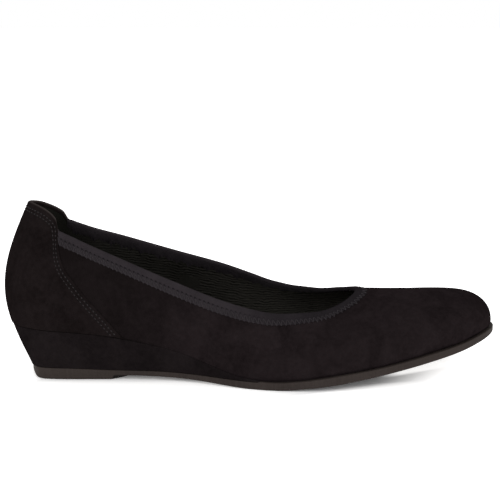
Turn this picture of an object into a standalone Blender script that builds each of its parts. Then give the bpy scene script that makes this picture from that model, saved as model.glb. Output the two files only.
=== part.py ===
"""Right-foot suede pump on a low wedge heel, standing empty on its sole.

+X points to the toe, +Y to the inner (medial) side of the foot and +Z up. The origin is on the floor, under the
middle of the shoe's box. Every size here is in millimetres, and the meshes are in Blender's metres.

The upper is a band of wall that runs once round the foot, from its bottom edge on the sole up to the collar. A place
on that band is a ring place, which counts the sections of the tables from the centre back (0) along the outer side
to the toe tip (12) and back along the inner side to 24, and a height share, from 0 at the bottom edge to 1 at the
collar.
"""

import bpy
import bmesh
import numpy as np

MM = 0.001
UP = np.array([0.0, 0.0, 1.0])

# Driving sizes
SHOE_LENGTH = 253.0
BALL_WIDTH = 83.5
SEAT_HEIGHT = 25.2
BACK_HEIGHT = 86.5
TOE_SPRING = 17.5

# Sizes of the sample shoe that the tables below are drawn for; the driving sizes grade them up or down
SAMPLE_LENGTH = 253.0
SAMPLE_BALL = 83.5
SAMPLE_SEAT = 25.2
SAMPLE_BACK = 86.5
SAMPLE_SPRING = 17.5

# Thicknesses and clearances
GAP = 0.3
WALL = 1.8
COUNTER_THICK = 1.0
BINDING_THICK = 0.9
BINDING_OUTSIDE = 5.1
BINDING_START = 0.06
BINDING_INSIDE = 3.0
INSOLE_THICK = 2.6
WEDGE_LIP_HEEL = 0.9
WEDGE_LIP_FRONT = 0.3
WEDGE_TIP = 0.8
WEDGE_SETBACK = 0.1
WEDGE_BACK_OVERHANG = 1.0
SOLE_EDGE_ROUND = 0.7
HEEL_EDGE_ROUND = 1.6
HEEL_SLANT_RISE = 3.0
TOE_EDGE_ROUND = 0.8
HEEL_STEP_RUN = 1.2
COUNTER_CLEARANCE = 0.9

# Mesh density
SIDE_STEPS = 42
WALL_STEPS = 12
COUNTER_STEPS = 30
COUNTER_RISE_STEPS = 10
BINDING_STEPS = 72
PLATE_STEPS = 5


def table(columns, *rows):
    """A table by column name."""
    return dict(zip(columns.split(), np.array(rows, float).T))


# Bottom edge of the upper in plan, one row for each section: back, heel round, heel, seat, seat front, shank, waist,
# joint rear, ball, toe rear, toe box, toe corner and tip
FOOT = table(
    "place  out_x  out_y   in_x   in_y",
    (0, 4.1, 0.0, 4.1, 0.0),
    (1, 8.7, -15.5, 8.7, 15.5),
    (2, 22.5, -26.0, 22.5, 25.5),
    (3, 43.0, -29.3, 43.0, 27.8),
    (4, 66.0, -29.5, 66.0, 26.8),
    (5, 90.0, -31.0, 91.0, 26.3),
    (6, 115.0, -37.6, 116.0, 29.5),
    (7, 140.0, -42.4, 142.0, 36.5),
    (8, 166.0, -42.0, 168.0, 41.5),
    (9, 192.0, -37.3, 195.0, 41.0),
    (10, 217.0, -26.5, 220.0, 34.5),
    (11, 238.5, -12.8, 241.0, 24.0),
    (12, 251.6, 6.0, 251.6, 6.0),
)

# Outline of the outsole, section by section as above: squarer than the upper at the heel, a narrow welt at the front
SOLE = table(
    "place  out_x  out_y   in_x   in_y",
    (0, 13.5, 0.0, 13.5, 0.0),
    (1, 15.8, -17.0, 15.8, 16.4),
    (2, 23.6, -24.2, 23.6, 23.2),
    (3, 43.0, -25.0, 43.0, 23.6),
    (4, 66.0, -25.3, 66.0, 22.8),
    (5, 90.0, -28.6, 91.0, 23.8),
    (6, 115.0, -37.4, 116.0, 29.2),
    (7, 140.0, -43.5, 142.0, 37.5),
    (8, 166.3, -43.4, 168.2, 42.7),
    (9, 192.7, -38.5, 195.5, 42.2),
    (10, 218.0, -27.6, 220.8, 35.6),
    (11, 239.6, -13.6, 242.0, 24.9),
    (12, 252.9, 6.0, 252.9, 6.0),
)

# Height of that edge above the floor: the share that the heel lifts and the share of the toe spring
SEAT_LINE = table(
    "x      heel    spring",
    (0, 24.8, 0.0),
    (15, 26.1, 0.0),
    (32, 25.9, 0.0),
    (48, 24.8, 0.0),
    (62, 22.5, 0.0),
    (76, 19.5, 0.0),
    (93, 15.0, 0.0),
    (108, 9.8, 0.0),
    (120, 6.0, 0.0),
    (134, 4.3, 0.0),
    (150, 4.0, 1.1),
    (163, 4.0, 2.7),
    (175, 4.0, 4.4),
    (186, 4.0, 5.9),
    (200, 4.0, 8.0),
    (216, 4.0, 10.4),
    (233, 4.0, 13.0),
    (245, 4.0, 15.6),
    (253, 4.0, 17.1),
)

# Collar edge of the upper: the counter's top, the scoop where the binding starts, and the throat
COLLAR = table(
    "place  out_x  out_y  out_z   in_x   in_y   in_z",
    (0.0, 14.2, 0.0, 86.5, 14.2, 0.0, 86.5),
    (0.6, 17.4, -5.5, 85.9, 17.2, 5.5, 85.6),
    (1.2, 23.3, -10.3, 83.9, 22.6, 10.3, 82.9),
    (1.8, 28.4, -14.0, 80.0, 27.9, 14.0, 78.9),
    (2.3, 30.4, -16.5, 73.4, 31.0, 16.5, 73.4),
    (3.0, 40.0, -20.5, 69.0, 40.0, 20.0, 68.7),
    (4.0, 61.0, -25.3, 60.6, 61.5, 24.5, 61.6),
    (5.0, 86.5, -28.2, 50.0, 86.5, 26.5, 53.9),
    (6.0, 112.0, -29.5, 40.0, 112.0, 27.3, 46.6),
    (6.5, 125.3, -29.1, 35.9, 125.5, 27.0, 42.0),
    (7.0, 138.0, -28.2, 33.4, 138.5, 26.3, 37.7),
    (7.5, 149.7, -25.4, 32.9, 150.2, 24.2, 35.8),
    (8.0, 159.5, -21.3, 32.8, 160.0, 21.0, 35.6),
    (9.0, 172.6, -12.5, 35.4, 173.1, 14.5, 37.7),
    (10.0, 178.6, -6.0, 37.9, 179.0, 9.0, 39.2),
    (11.0, 181.2, -1.5, 39.2, 181.4, 5.3, 39.6),
    (12.0, 181.8, 2.0, 39.7, 181.8, 2.0, 39.7),
)

# Wall between the two edges: rise and flare of its foot, run and slope of its top
PROFILE = table(
    "place  rise  flare   run   slope",
    (0.0, 24.0, 18.8, 25.0, 66.0),
    (1.0, 24.0, 17.5, 26.0, 66.0),
    (2.0, 22.0, 14.0, 26.0, 64.0),
    (3.0, 17.0, 12.0, 17.0, 72.0),
    (4.0, 14.0, 12.0, 13.0, 74.0),
    (5.0, 12.0, 12.0, 11.0, 72.0),
    (6.0, 11.0, 10.0, 10.0, 62.0),
    (7.0, 12.0, 9.0, 11.0, 46.0),
    (8.0, 14.5, 8.0, 13.0, 30.0),
    (9.0, 17.5, 8.0, 20.0, 15.0),
    (10.0, 18.8, 8.0, 34.7, 8.6),
    (11.0, 23.7, 13.0, 55.1, 7.7),
    (12.0, 22.0, 3.9, 43.4, -1.2),
)

# Front edge of the heel counter, from the wedge up to the scoop in the collar
COUNTER_EDGE = table(
    "height  place",
    (0.0, 3.88),
    (0.25, 3.42),
    (0.5, 2.95),
    (0.75, 2.55),
    (1.0, 2.3),
)

# Outsole along its length: underside, and top face where the wedge stands on it
HEEL_PAD_END = 56.0
WEDGE_LIMIT = 130.0
SOLE_LINE = table(
    "x      under   spring   top",
    (0, 2.0, 0.0, 5.9),
    (30, 2.0, 0.0, 5.8),
    (60, 2.0, 0.0, 4.8),
    (85, 1.8, 0.0, 4.6),
    (102, 1.3, 0.0, 4.4),
    (114, 0.55, 0.0, 4.1),
    (126, 0.0, 0.0, 3.8),
    (140, 0.0, 0.0, 3.8),
    (152, 0.0, 0.9, 3.8),
    (164, 0.0, 2.1, 3.8),
    (176, 0.0, 3.9, 3.8),
    (187, 0.0, 5.7, 3.8),
    (201, 0.0, 7.8, 3.8),
    (217, 0.0, 10.1, 3.8),
    (234, 0.0, 12.8, 3.8),
    (246, 0.0, 15.5, 3.8),
    (254, 0.0, 17.5, 3.8),
)

LAST_PLACE = FOOT["place"][-1]
RING_LENGTH = 2 * LAST_PLACE
LENGTH_GRADE = SHOE_LENGTH / SAMPLE_LENGTH
WIDTH_GRADE = BALL_WIDTH / SAMPLE_BALL
SEAT_GRADE = SEAT_HEIGHT / SAMPLE_SEAT
BACK_GRADE = BACK_HEIGHT / SAMPLE_BACK
SPRING_GRADE = TOE_SPRING / SAMPLE_SPRING


# Curves through the tables


def smooth(places, values, at):
    """Cubic through a table's column that never overshoots its rows."""
    steps = np.diff(places)
    slopes = np.diff(values) / steps
    tangents = np.concatenate([slopes[:1], np.zeros(len(slopes) - 1), slopes[-1:]])
    for i in range(1, len(slopes)):
        before, after = slopes[i - 1], slopes[i]
        if before * after > 0:
            near, far = 2 * steps[i] + steps[i - 1], steps[i] + 2 * steps[i - 1]
            tangents[i] = (near + far) / (near / before + far / after)
    at = np.clip(np.asarray(at, float), places[0], places[-1])
    i = np.clip(np.searchsorted(places, at, side="right") - 1, 0, len(steps) - 1)
    t = (at - places[i]) / steps[i]
    rest = 1 - t
    return (
        (1 + 2 * t) * rest**2 * values[i]
        + t * rest**2 * steps[i] * tangents[i]
        + t**2 * (3 - 2 * t) * values[i + 1]
        - t**2 * rest * steps[i] * tangents[i + 1]
    )


def closed_spline(knots, at):
    """Closed curve through evenly spaced knots, smooth in its bend too."""
    count = len(knots)
    turn = np.eye(count)
    matrix = 4 * turn + np.roll(turn, 1, axis=1) + np.roll(turn, -1, axis=1)
    tangents = np.linalg.solve(matrix, 3 * (np.roll(knots, -1, axis=0) - np.roll(knots, 1, axis=0)))
    at = np.asarray(at, float) % count
    i = np.floor(at).astype(int) % count
    j = (i + 1) % count
    t = (at - np.floor(at))[..., None]
    rest = 1 - t
    return (
        (1 + 2 * t) * rest**2 * knots[i]
        + t * rest**2 * tangents[i]
        + t**2 * (3 - 2 * t) * knots[j]
        - t**2 * rest * tangents[j]
    )


def unit(vectors):
    return vectors / np.linalg.norm(vectors, axis=-1, keepdims=True)


def around(places, outer, inner, ring):
    """A column for each side carried once round the ring, smooth where the sides meet."""
    turn = np.concatenate([places, RING_LENGTH - places[-2::-1]])
    values = np.concatenate([outer, inner[-2::-1]])
    turn = np.concatenate([turn[-2:-1] - RING_LENGTH, turn, turn[1:2] + RING_LENGTH])
    values = np.concatenate([values[-2:-1], values, values[1:2]])
    return smooth(turn, values, np.asarray(ring, float) % RING_LENGTH)


# The last: bottom edge, collar and the wall between them


def seat_height(x):
    """Height of the upper's bottom edge."""
    x = np.asarray(x) / LENGTH_GRADE
    heel = smooth(SEAT_LINE["x"], SEAT_LINE["heel"], x) * SEAT_GRADE
    return heel + smooth(SEAT_LINE["x"], SEAT_LINE["spring"], x) * SPRING_GRADE


def outline(rows, ring):
    """Closed outline in plan through the two sides of a table."""
    outer = np.column_stack([rows["out_x"], rows["out_y"]])
    inner = np.column_stack([rows["in_x"], rows["in_y"]])
    knots = np.concatenate([outer, inner[-2:0:-1]])
    return closed_spline(knots, ring) * (LENGTH_GRADE, WIDTH_GRADE)


def outward_of(rows, ring):
    """Level direction out of an outline."""
    ring = np.asarray(ring, float)
    step = 1e-3
    along = outline(rows, ring + step) - outline(rows, ring - step)
    return unit(np.stack([along[..., 1], -along[..., 0], np.zeros(ring.shape)], axis=-1))


def foot_edge(ring):
    """Bottom edge of the upper."""
    plan = outline(FOOT, ring)
    return np.concatenate([plan, seat_height(plan[..., :1])], axis=-1)


def collar_edge(ring):
    """Top edge of the upper."""
    axes = [around(COLLAR["place"], COLLAR["out_" + axis], COLLAR["in_" + axis], ring) for axis in "xyz"]
    return np.stack(axes, axis=-1) * (LENGTH_GRADE, WIDTH_GRADE, BACK_GRADE)


def wall(ring, height):
    """Outer face of the upper at a ring place and a height share."""
    ring, height = np.broadcast_arrays(np.asarray(ring, float), np.asarray(height, float))
    rise, flare, run, slope = (
        around(PROFILE["place"], PROFILE[column], PROFILE[column], ring)[..., None]
        for column in ("rise", "flare", "run", "slope")
    )
    flare, slope = np.radians(flare), np.radians(slope)
    foot, collar, outward = foot_edge(ring), collar_edge(ring), outward_of(FOOT, ring)
    level_ray = (foot - collar) * (1, 1, 0)
    fan = unit(level_ray + 15 * outward)
    foot_handle = foot + rise * (np.cos(flare) * UP + np.sin(flare) * outward)
    collar_handle = collar + run * (np.cos(slope) * fan - np.sin(slope) * UP)
    t = height[..., None]
    rest = 1 - t
    return rest**3 * foot + 3 * t * rest**2 * foot_handle + 3 * t**2 * rest * collar_handle + t**3 * collar


def wall_frame(ring, height):
    """Outward normal of the wall, and its direction up towards the collar."""
    step = 1e-3
    upward = unit(wall(ring, np.asarray(height) + step) - wall(ring, np.asarray(height) - step))
    along = wall(np.asarray(ring) + step, height) - wall(np.asarray(ring) - step, height)
    return unit(np.cross(along, upward)), upward


def wall_offset(ring, height, out):
    """Point off the upper's outer face, outwards if out is positive."""
    normal, _ = wall_frame(ring, height)
    return wall(ring, height) + out * normal


def height_below_collar(ring, distance):
    """Height share of the point that lies a distance down the wall from the collar."""
    shares = np.linspace(1, 0.3, 60)
    run = wall(ring[:, None], shares[None, :])
    lengths = np.linalg.norm(np.diff(run, axis=1), axis=2).cumsum(axis=1)
    lengths = np.concatenate([np.zeros((len(ring), 1)), lengths], axis=1)
    return np.array([np.interp(distance, length, shares) for length in lengths])


# The sole: outline and faces


def wedge_floor(x):
    """Top face of the outsole where the wedge stands on it."""
    x = np.asarray(x) / LENGTH_GRADE
    return smooth(SOLE_LINE["x"], SOLE_LINE["top"], x)


def wedge_lip(x):
    """How far the wedge's top edge stands out under the upper: most under the heel counter."""
    share = np.clip((np.asarray(x) / LENGTH_GRADE - 50) / 30, 0, 1)
    return WEDGE_LIP_HEEL + (WEDGE_LIP_FRONT - WEDGE_LIP_HEEL) * share


def wedge_foot(ring):
    """Bottom edge of the wedge in plan, set back from the sole's edge but standing over it at the back."""
    outward = outward_of(SOLE, ring)[:, :2]
    setback = WEDGE_SETBACK - WEDGE_BACK_OVERHANG * np.clip(-outward[:, :1], 0, 1) ** 2
    return outline(SOLE, ring) - setback * outward


def sole_top(x):
    """Top face of the outsole, under the wedge and, in front of it, under the upper."""
    under_upper = seat_height(x) - GAP
    return np.where(x < WEDGE_LIMIT * LENGTH_GRADE, np.minimum(wedge_floor(x), under_upper), under_upper)


def sole_under(x):
    """Underside of the outsole: the heel pad on the floor, the raised waist, the tread and the toe spring."""
    x = np.asarray(x) / LENGTH_GRADE
    waist = smooth(SOLE_LINE["x"], SOLE_LINE["under"], x)
    pad = np.clip((x - HEEL_PAD_END) / HEEL_STEP_RUN, 0, 1)
    return waist * pad + smooth(SOLE_LINE["x"], SOLE_LINE["spring"], x) * SPRING_GRADE


def across(outer, inner, count):
    """Points from the outer side to the inner one, in plan."""
    share = np.linspace(0, 1, count)[None, :, None]
    return outer[:, None, :] * (1 - share) + inner[:, None, :] * share


def plate(outer, inner, count, height_of):
    """Face between two edges in plan, with heights by a function of x."""
    plan = across(outer, inner, count)
    return np.concatenate([plan, height_of(plan[..., :1])], axis=-1)


def side_places(first=0.0, last=LAST_PLACE, steps=SIDE_STEPS, extra=()):
    """Ring places along the outer side, half a step clear of the centre back and of the tip."""
    places = (np.arange(steps) + 0.5) / steps * LAST_PLACE
    places = places[(places >= first) & (places <= last)]
    return np.sort(np.concatenate([places, extra]))


def place_at(x, rows):
    """Ring places on the outer side where an outline reaches given values of x."""
    places = np.linspace(0, LAST_PLACE, 1201)
    return np.interp(x, outline(rows, places)[:, 0], places)


# Solids


def solid(name, face_a, face_b, material, closed):
    """Solid between two facing grids of points, of sections by points along each section.

    A closed one runs round and meets itself; an open one is capped at its first and last section.
    """
    sections, count = face_a.shape[:2]
    model = bmesh.new()
    rows_a, rows_b = (
        [[model.verts.new(tuple(point)) for point in section] for section in to_part_frame(face)]
        for face in (face_a, face_b)
    )
    for i in range(sections if closed else sections - 1):
        j = (i + 1) % sections
        for k in range(count - 1):
            model.faces.new((rows_a[i][k], rows_a[i][k + 1], rows_a[j][k + 1], rows_a[j][k]))
            model.faces.new((rows_b[j][k], rows_b[j][k + 1], rows_b[i][k + 1], rows_b[i][k]))
        for k in (0, count - 1):
            model.faces.new((rows_a[i][k], rows_a[j][k], rows_b[j][k], rows_b[i][k]))
    for i in () if closed else (0, sections - 1):
        for k in range(count - 1):
            model.faces.new((rows_a[i][k], rows_a[i][k + 1], rows_b[i][k + 1], rows_b[i][k]))
    bmesh.ops.recalc_face_normals(model, faces=model.faces)
    mesh = bpy.data.meshes.new(name)
    model.to_mesh(mesh)
    model.free()
    mesh.materials.append(material)
    mesh.shade_smooth()
    mesh.set_sharp_from_angle(angle=np.radians(40))
    piece = bpy.data.objects.new(name, mesh)
    bpy.context.scene.collection.objects.link(piece)
    return piece


def to_part_frame(points):
    """Metres from the middle of the shoe's length, and of its width, on the floor."""
    sole = outline(SOLE, np.linspace(0, RING_LENGTH, 481))
    back = wall_offset(0.0, np.linspace(0, 1, 41), GAP + COUNTER_THICK)
    middle_x = (back[:, 0].min() + sole[:, 0].max()) / 2
    middle_y = (sole[:, 1].min() + sole[:, 1].max()) / 2
    return (points - (middle_x, middle_y, 0)) * MM


def finish(name, colour, roughness):
    """Material with one colour and gloss."""
    material = bpy.data.materials.new(name)
    material.use_nodes = True
    shader = material.node_tree.nodes["Principled BSDF"]
    shader.inputs["Base Color"].default_value = (*colour, 1.0)
    shader.inputs["Roughness"].default_value = roughness
    shader.inputs["Metallic"].default_value = 0.0
    return material


def make_upper(material):
    """Hollow wall of quarters and vamp, open at the collar and underneath."""
    ring = np.concatenate([side_places(), RING_LENGTH - side_places()[::-1]])[:, None]
    heights = np.linspace(0, 1, WALL_STEPS + 1)[None, :]
    return solid("upper", wall_offset(ring, heights, 0), wall_offset(ring, heights, -WALL), material, closed=True)


def make_heel_counter(material):
    """Panel sewn over the back of the upper, from the wedge to the collar."""
    heights = np.linspace(0, 1, COUNTER_RISE_STEPS + 1)
    start = COUNTER_CLEARANCE / (3 * PROFILE["rise"][0])
    heights = start + heights * (1 - start)
    reach = smooth(COUNTER_EDGE["height"], COUNTER_EDGE["place"], heights)
    ring = np.linspace(1, -1, COUNTER_STEPS)[:, None] * reach[None, :]
    heights = np.broadcast_to(heights, ring.shape)
    outside = wall_offset(ring, heights, GAP + COUNTER_THICK)
    return solid("heel_counter", outside, wall_offset(ring, heights, GAP), material, closed=False)


def binding_ring(depth):
    """Ring places along the binding at a depth below the collar, which start clear of the counter's front edge."""
    corner = height_below_collar(COUNTER_EDGE["place"][-1:], depth)
    start = smooth(COUNTER_EDGE["height"], COUNTER_EDGE["place"], corner) + BINDING_START
    return start + np.linspace(0, 1, BINDING_STEPS) * (RING_LENGTH - 2 * start)


def make_collar_binding(material):
    """Elastic tape folded over the collar edge, from one end of the heel counter to the other."""
    crest_ring = binding_ring(0.0)
    collar = np.ones(BINDING_STEPS)
    normal, upward = wall_frame(crest_ring, collar)
    crest = wall_offset(crest_ring, collar, -WALL / 2)

    def skin(reach):
        rows = []
        for depth in np.linspace(BINDING_OUTSIDE, 0, 4)[:-1]:
            ring = binding_ring(depth)
            rows.append(wall_offset(ring, height_below_collar(ring, depth), reach))
        for turn in np.radians(np.linspace(0, 180, 6)):
            rows.append(crest + (WALL / 2 + reach) * (np.cos(turn) * normal + np.sin(turn) * upward))
        for depth in np.linspace(0, BINDING_INSIDE, 4)[1:]:
            rows.append(wall_offset(crest_ring, height_below_collar(crest_ring, depth), -WALL - reach))
        return np.stack(rows, axis=1)

    return solid("collar_binding", skin(GAP + BINDING_THICK), skin(GAP), material, closed=False)


def make_insole(material):
    """Padded sock that closes the upper's foot and lies on wedge and outsole."""
    places = side_places()
    edges = []
    for ring in (places, RING_LENGTH - places):
        edges.append((foot_edge(ring) - (WALL + 2 * GAP) * outward_of(FOOT, ring))[:, :2])
    top = plate(*edges, PLATE_STEPS, lambda x: seat_height(x) + INSOLE_THICK)
    under = plate(*edges, PLATE_STEPS, seat_height)
    return solid("insole", top, under, material, closed=False)


def make_wedge(material):
    """Covered wedge between the upper and the outsole, thinning out at the waist."""
    xs = np.linspace(80, 135, 400) * LENGTH_GRADE
    deep = seat_height(xs) - GAP - (wedge_floor(xs) + GAP) > WEDGE_TIP
    front = place_at(xs[deep][-1], FOOT)
    places = side_places(last=front, extra=(front,))
    tops, feet = [], []
    for ring in (places, RING_LENGTH - places):
        edge = outline(FOOT, ring)
        tops.append(edge + wedge_lip(edge[:, :1]) * outward_of(FOOT, ring)[:, :2])
        feet.append(wedge_foot(ring))
    top = plate(*tops, PLATE_STEPS, lambda x: seat_height(x) - GAP)
    under = plate(*feet, PLATE_STEPS, lambda x: wedge_floor(x) + GAP)
    return solid("wedge", top, under, material, closed=False)


def edge_round(forward):
    """Rounding of the outsole's lower edge, larger at the back and at the toe; forward is its outward x."""
    at_end = np.where(forward < 0, HEEL_EDGE_ROUND, TOE_EDGE_ROUND)
    return SOLE_EDGE_ROUND + (at_end - SOLE_EDGE_ROUND) * forward**6


def edge_rise(forward):
    """Height over which the lower edge draws in: most of the sole's thickness at the slanted back."""
    back = np.clip(-forward, 0, 1) ** 6
    return edge_round(forward) * (1 - back) + HEEL_SLANT_RISE * back


def make_outsole(material):
    """Moulded outsole with its heel pad, raised waist, flat tread and toe spring."""
    step = np.array([HEEL_PAD_END, HEEL_PAD_END + HEEL_STEP_RUN]) * LENGTH_GRADE
    places = side_places(extra=place_at(step, SOLE))
    edges, feet, lifts = [], [], []
    for ring in (places, RING_LENGTH - places):
        outward = outward_of(SOLE, ring)
        rounding = edge_round(outward[:, 0])
        edges.append(outline(SOLE, ring))
        feet.append(outline(SOLE, ring) - rounding[:, None] * outward[:, :2])
        lifts.append(edge_rise(outward[:, 0]))
    top = plate(*edges, PLATE_STEPS, sole_top)
    under = plate(*feet, PLATE_STEPS, sole_under)
    low = [np.column_stack([edge, sole_under(edge[:, 0]) + lift]) for edge, lift in zip(edges, lifts)]
    under = np.concatenate([low[0][:, None], under, low[1][:, None]], axis=1)
    inner_top = plate(*feet, PLATE_STEPS, sole_top)
    top = np.concatenate([top[:, :1], inner_top, top[:, -1:]], axis=1)
    return solid("outsole", top, under, material, closed=False)


def main():
    for old in list(bpy.data.objects):
        bpy.data.objects.remove(old)
    suede = finish("black_suede", (0.012, 0.010, 0.011), 0.95)
    elastic = finish("elastic_tape", (0.030, 0.030, 0.034), 0.85)
    rubber = finish("sole_rubber", (0.040, 0.034, 0.031), 0.60)
    sock = finish("sock_leather", (0.010, 0.010, 0.010), 0.70)
    make_outsole(rubber)
    make_wedge(suede)
    make_insole(sock)
    make_upper(suede)
    make_heel_counter(suede)
    make_collar_binding(elastic)


main()
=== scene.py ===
"""Looks of a right-foot suede pump on a low wedge heel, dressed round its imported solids.

+X points to the toe, +Y to the inner (medial) side of the foot and +Z up. Shapes are worked out in
millimetres, from the heel's back, and to_frame turns them into metres in the frame of the solids.

A place on the upper is a ring place and a height share. Ring places count the sections of the tables
from the centre back (0) along the outer side to the toe tip (12), and back along the inner side to 24.
Height shares go from 0 at the bottom edge to 1 at the collar.
"""

import math

import bmesh
import bpy
import numpy as np
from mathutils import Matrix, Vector


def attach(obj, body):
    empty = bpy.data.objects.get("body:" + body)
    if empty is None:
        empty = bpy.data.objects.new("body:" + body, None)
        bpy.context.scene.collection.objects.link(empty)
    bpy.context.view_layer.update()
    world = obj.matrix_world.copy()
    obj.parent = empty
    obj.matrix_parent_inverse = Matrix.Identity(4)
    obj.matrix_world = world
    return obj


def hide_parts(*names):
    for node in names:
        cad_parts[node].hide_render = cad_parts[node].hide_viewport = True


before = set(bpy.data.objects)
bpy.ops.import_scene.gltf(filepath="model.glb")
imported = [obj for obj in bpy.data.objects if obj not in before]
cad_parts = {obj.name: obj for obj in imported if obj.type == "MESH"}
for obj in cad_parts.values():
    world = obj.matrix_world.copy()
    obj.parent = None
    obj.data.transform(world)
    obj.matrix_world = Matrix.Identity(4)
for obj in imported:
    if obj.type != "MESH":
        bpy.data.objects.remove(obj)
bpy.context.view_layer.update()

MM = 0.001
DOUBLED = 1e-6
STEP = 1e-3
UP = np.array([0.0, 0.0, 1.0])

# Thicknesses and clearances of the solids
GAP = 0.3
WALL = 1.8
FAN_SPREAD = 15.0
COUNTER_THICK = 1.0
BINDING_OUTSIDE = 5.1
BINDING_INSIDE = 3.0
INSOLE_THICK = 2.6
WEDGE_LIP_HEEL = 0.9
WEDGE_LIP_FRONT = 0.3
WEDGE_LIP_START = 50.0
WEDGE_LIP_RUN = 30.0
WEDGE_SETBACK = 0.1
WEDGE_BACK_OVERHANG = 1.0
WEDGE_LIMIT = 130.0
HEEL_PAD_END = 56.0
HEEL_STEP_RUN = 1.2


def table(columns, *rows):
    """A table by column name."""
    return dict(zip(columns.split(), np.array(rows, float).T))


# Bottom edge of the upper in plan, a row for each section from the centre back to the toe tip
FOOT = table(
    "place  out_x  out_y   in_x   in_y",
    (0, 4.1, 0.0, 4.1, 0.0),
    (1, 8.7, -15.5, 8.7, 15.5),
    (2, 22.5, -26.0, 22.5, 25.5),
    (3, 43.0, -29.3, 43.0, 27.8),
    (4, 66.0, -29.5, 66.0, 26.8),
    (5, 90.0, -31.0, 91.0, 26.3),
    (6, 115.0, -37.6, 116.0, 29.5),
    (7, 140.0, -42.4, 142.0, 36.5),
    (8, 166.0, -42.0, 168.0, 41.5),
    (9, 192.0, -37.3, 195.0, 41.0),
    (10, 217.0, -26.5, 220.0, 34.5),
    (11, 238.5, -12.8, 241.0, 24.0),
    (12, 251.6, 6.0, 251.6, 6.0),
)

# Outline of the outsole, section by section as above
SOLE = table(
    "place  out_x  out_y   in_x   in_y",
    (0, 13.5, 0.0, 13.5, 0.0),
    (1, 15.8, -17.0, 15.8, 16.4),
    (2, 23.6, -24.2, 23.6, 23.2),
    (3, 43.0, -25.0, 43.0, 23.6),
    (4, 66.0, -25.3, 66.0, 22.8),
    (5, 90.0, -28.6, 91.0, 23.8),
    (6, 115.0, -37.4, 116.0, 29.2),
    (7, 140.0, -43.5, 142.0, 37.5),
    (8, 166.3, -43.4, 168.2, 42.7),
    (9, 192.7, -38.5, 195.5, 42.2),
    (10, 218.0, -27.6, 220.8, 35.6),
    (11, 239.6, -13.6, 242.0, 24.9),
    (12, 252.9, 6.0, 252.9, 6.0),
)

# Height of the upper's bottom edge above the floor: what the heel lifts and what the toe spring adds
SEAT_LINE = table(
    "x      heel    spring",
    (0, 24.8, 0.0),
    (15, 26.1, 0.0),
    (32, 25.9, 0.0),
    (48, 24.8, 0.0),
    (62, 22.5, 0.0),
    (76, 19.5, 0.0),
    (93, 15.0, 0.0),
    (108, 9.8, 0.0),
    (120, 6.0, 0.0),
    (134, 4.3, 0.0),
    (150, 4.0, 1.1),
    (163, 4.0, 2.7),
    (175, 4.0, 4.4),
    (186, 4.0, 5.9),
    (200, 4.0, 8.0),
    (216, 4.0, 10.4),
    (233, 4.0, 13.0),
    (245, 4.0, 15.6),
    (253, 4.0, 17.1),
)

# Collar edge of the upper: the counter's top, the scoop where the binding starts, and the throat
COLLAR = table(
    "place  out_x  out_y  out_z   in_x   in_y   in_z",
    (0.0, 14.2, 0.0, 86.5, 14.2, 0.0, 86.5),
    (0.6, 17.4, -5.5, 85.9, 17.2, 5.5, 85.6),
    (1.2, 23.3, -10.3, 83.9, 22.6, 10.3, 82.9),
    (1.8, 28.4, -14.0, 80.0, 27.9, 14.0, 78.9),
    (2.3, 30.4, -16.5, 73.4, 31.0, 16.5, 73.4),
    (3.0, 40.0, -20.5, 69.0, 40.0, 20.0, 68.7),
    (4.0, 61.0, -25.3, 60.6, 61.5, 24.5, 61.6),
    (5.0, 86.5, -28.2, 50.0, 86.5, 26.5, 53.9),
    (6.0, 112.0, -29.5, 40.0, 112.0, 27.3, 46.6),
    (6.5, 125.3, -29.1, 35.9, 125.5, 27.0, 42.0),
    (7.0, 138.0, -28.2, 33.4, 138.5, 26.3, 37.7),
    (7.5, 149.7, -25.4, 32.9, 150.2, 24.2, 35.8),
    (8.0, 159.5, -21.3, 32.8, 160.0, 21.0, 35.6),
    (9.0, 172.6, -12.5, 35.4, 173.1, 14.5, 37.7),
    (10.0, 178.6, -6.0, 37.9, 179.0, 9.0, 39.2),
    (11.0, 181.2, -1.5, 39.2, 181.4, 5.3, 39.6),
    (12.0, 181.8, 2.0, 39.7, 181.8, 2.0, 39.7),
)

# Wall between the two edges: rise and flare of its foot, run and slope of its top
PROFILE = table(
    "place  rise  flare   run   slope",
    (0.0, 24.0, 18.8, 25.0, 66.0),
    (1.0, 24.0, 17.5, 26.0, 66.0),
    (2.0, 22.0, 14.0, 26.0, 64.0),
    (3.0, 17.0, 12.0, 17.0, 72.0),
    (4.0, 14.0, 12.0, 13.0, 74.0),
    (5.0, 12.0, 12.0, 11.0, 72.0),
    (6.0, 11.0, 10.0, 10.0, 62.0),
    (7.0, 12.0, 9.0, 11.0, 46.0),
    (8.0, 14.5, 8.0, 13.0, 30.0),
    (9.0, 17.5, 8.0, 20.0, 15.0),
    (10.0, 18.8, 8.0, 34.7, 8.6),
    (11.0, 23.7, 13.0, 55.1, 7.7),
    (12.0, 22.0, 3.9, 43.4, -1.2),
)

# Front edge of the heel counter, from the wedge up to the scoop in the collar
COUNTER_EDGE = table(
    "height  place",
    (0.0, 3.88),
    (0.25, 3.45),
    (0.5, 3.0),
    (0.75, 2.57),
    (1.0, 2.3),
)

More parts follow.
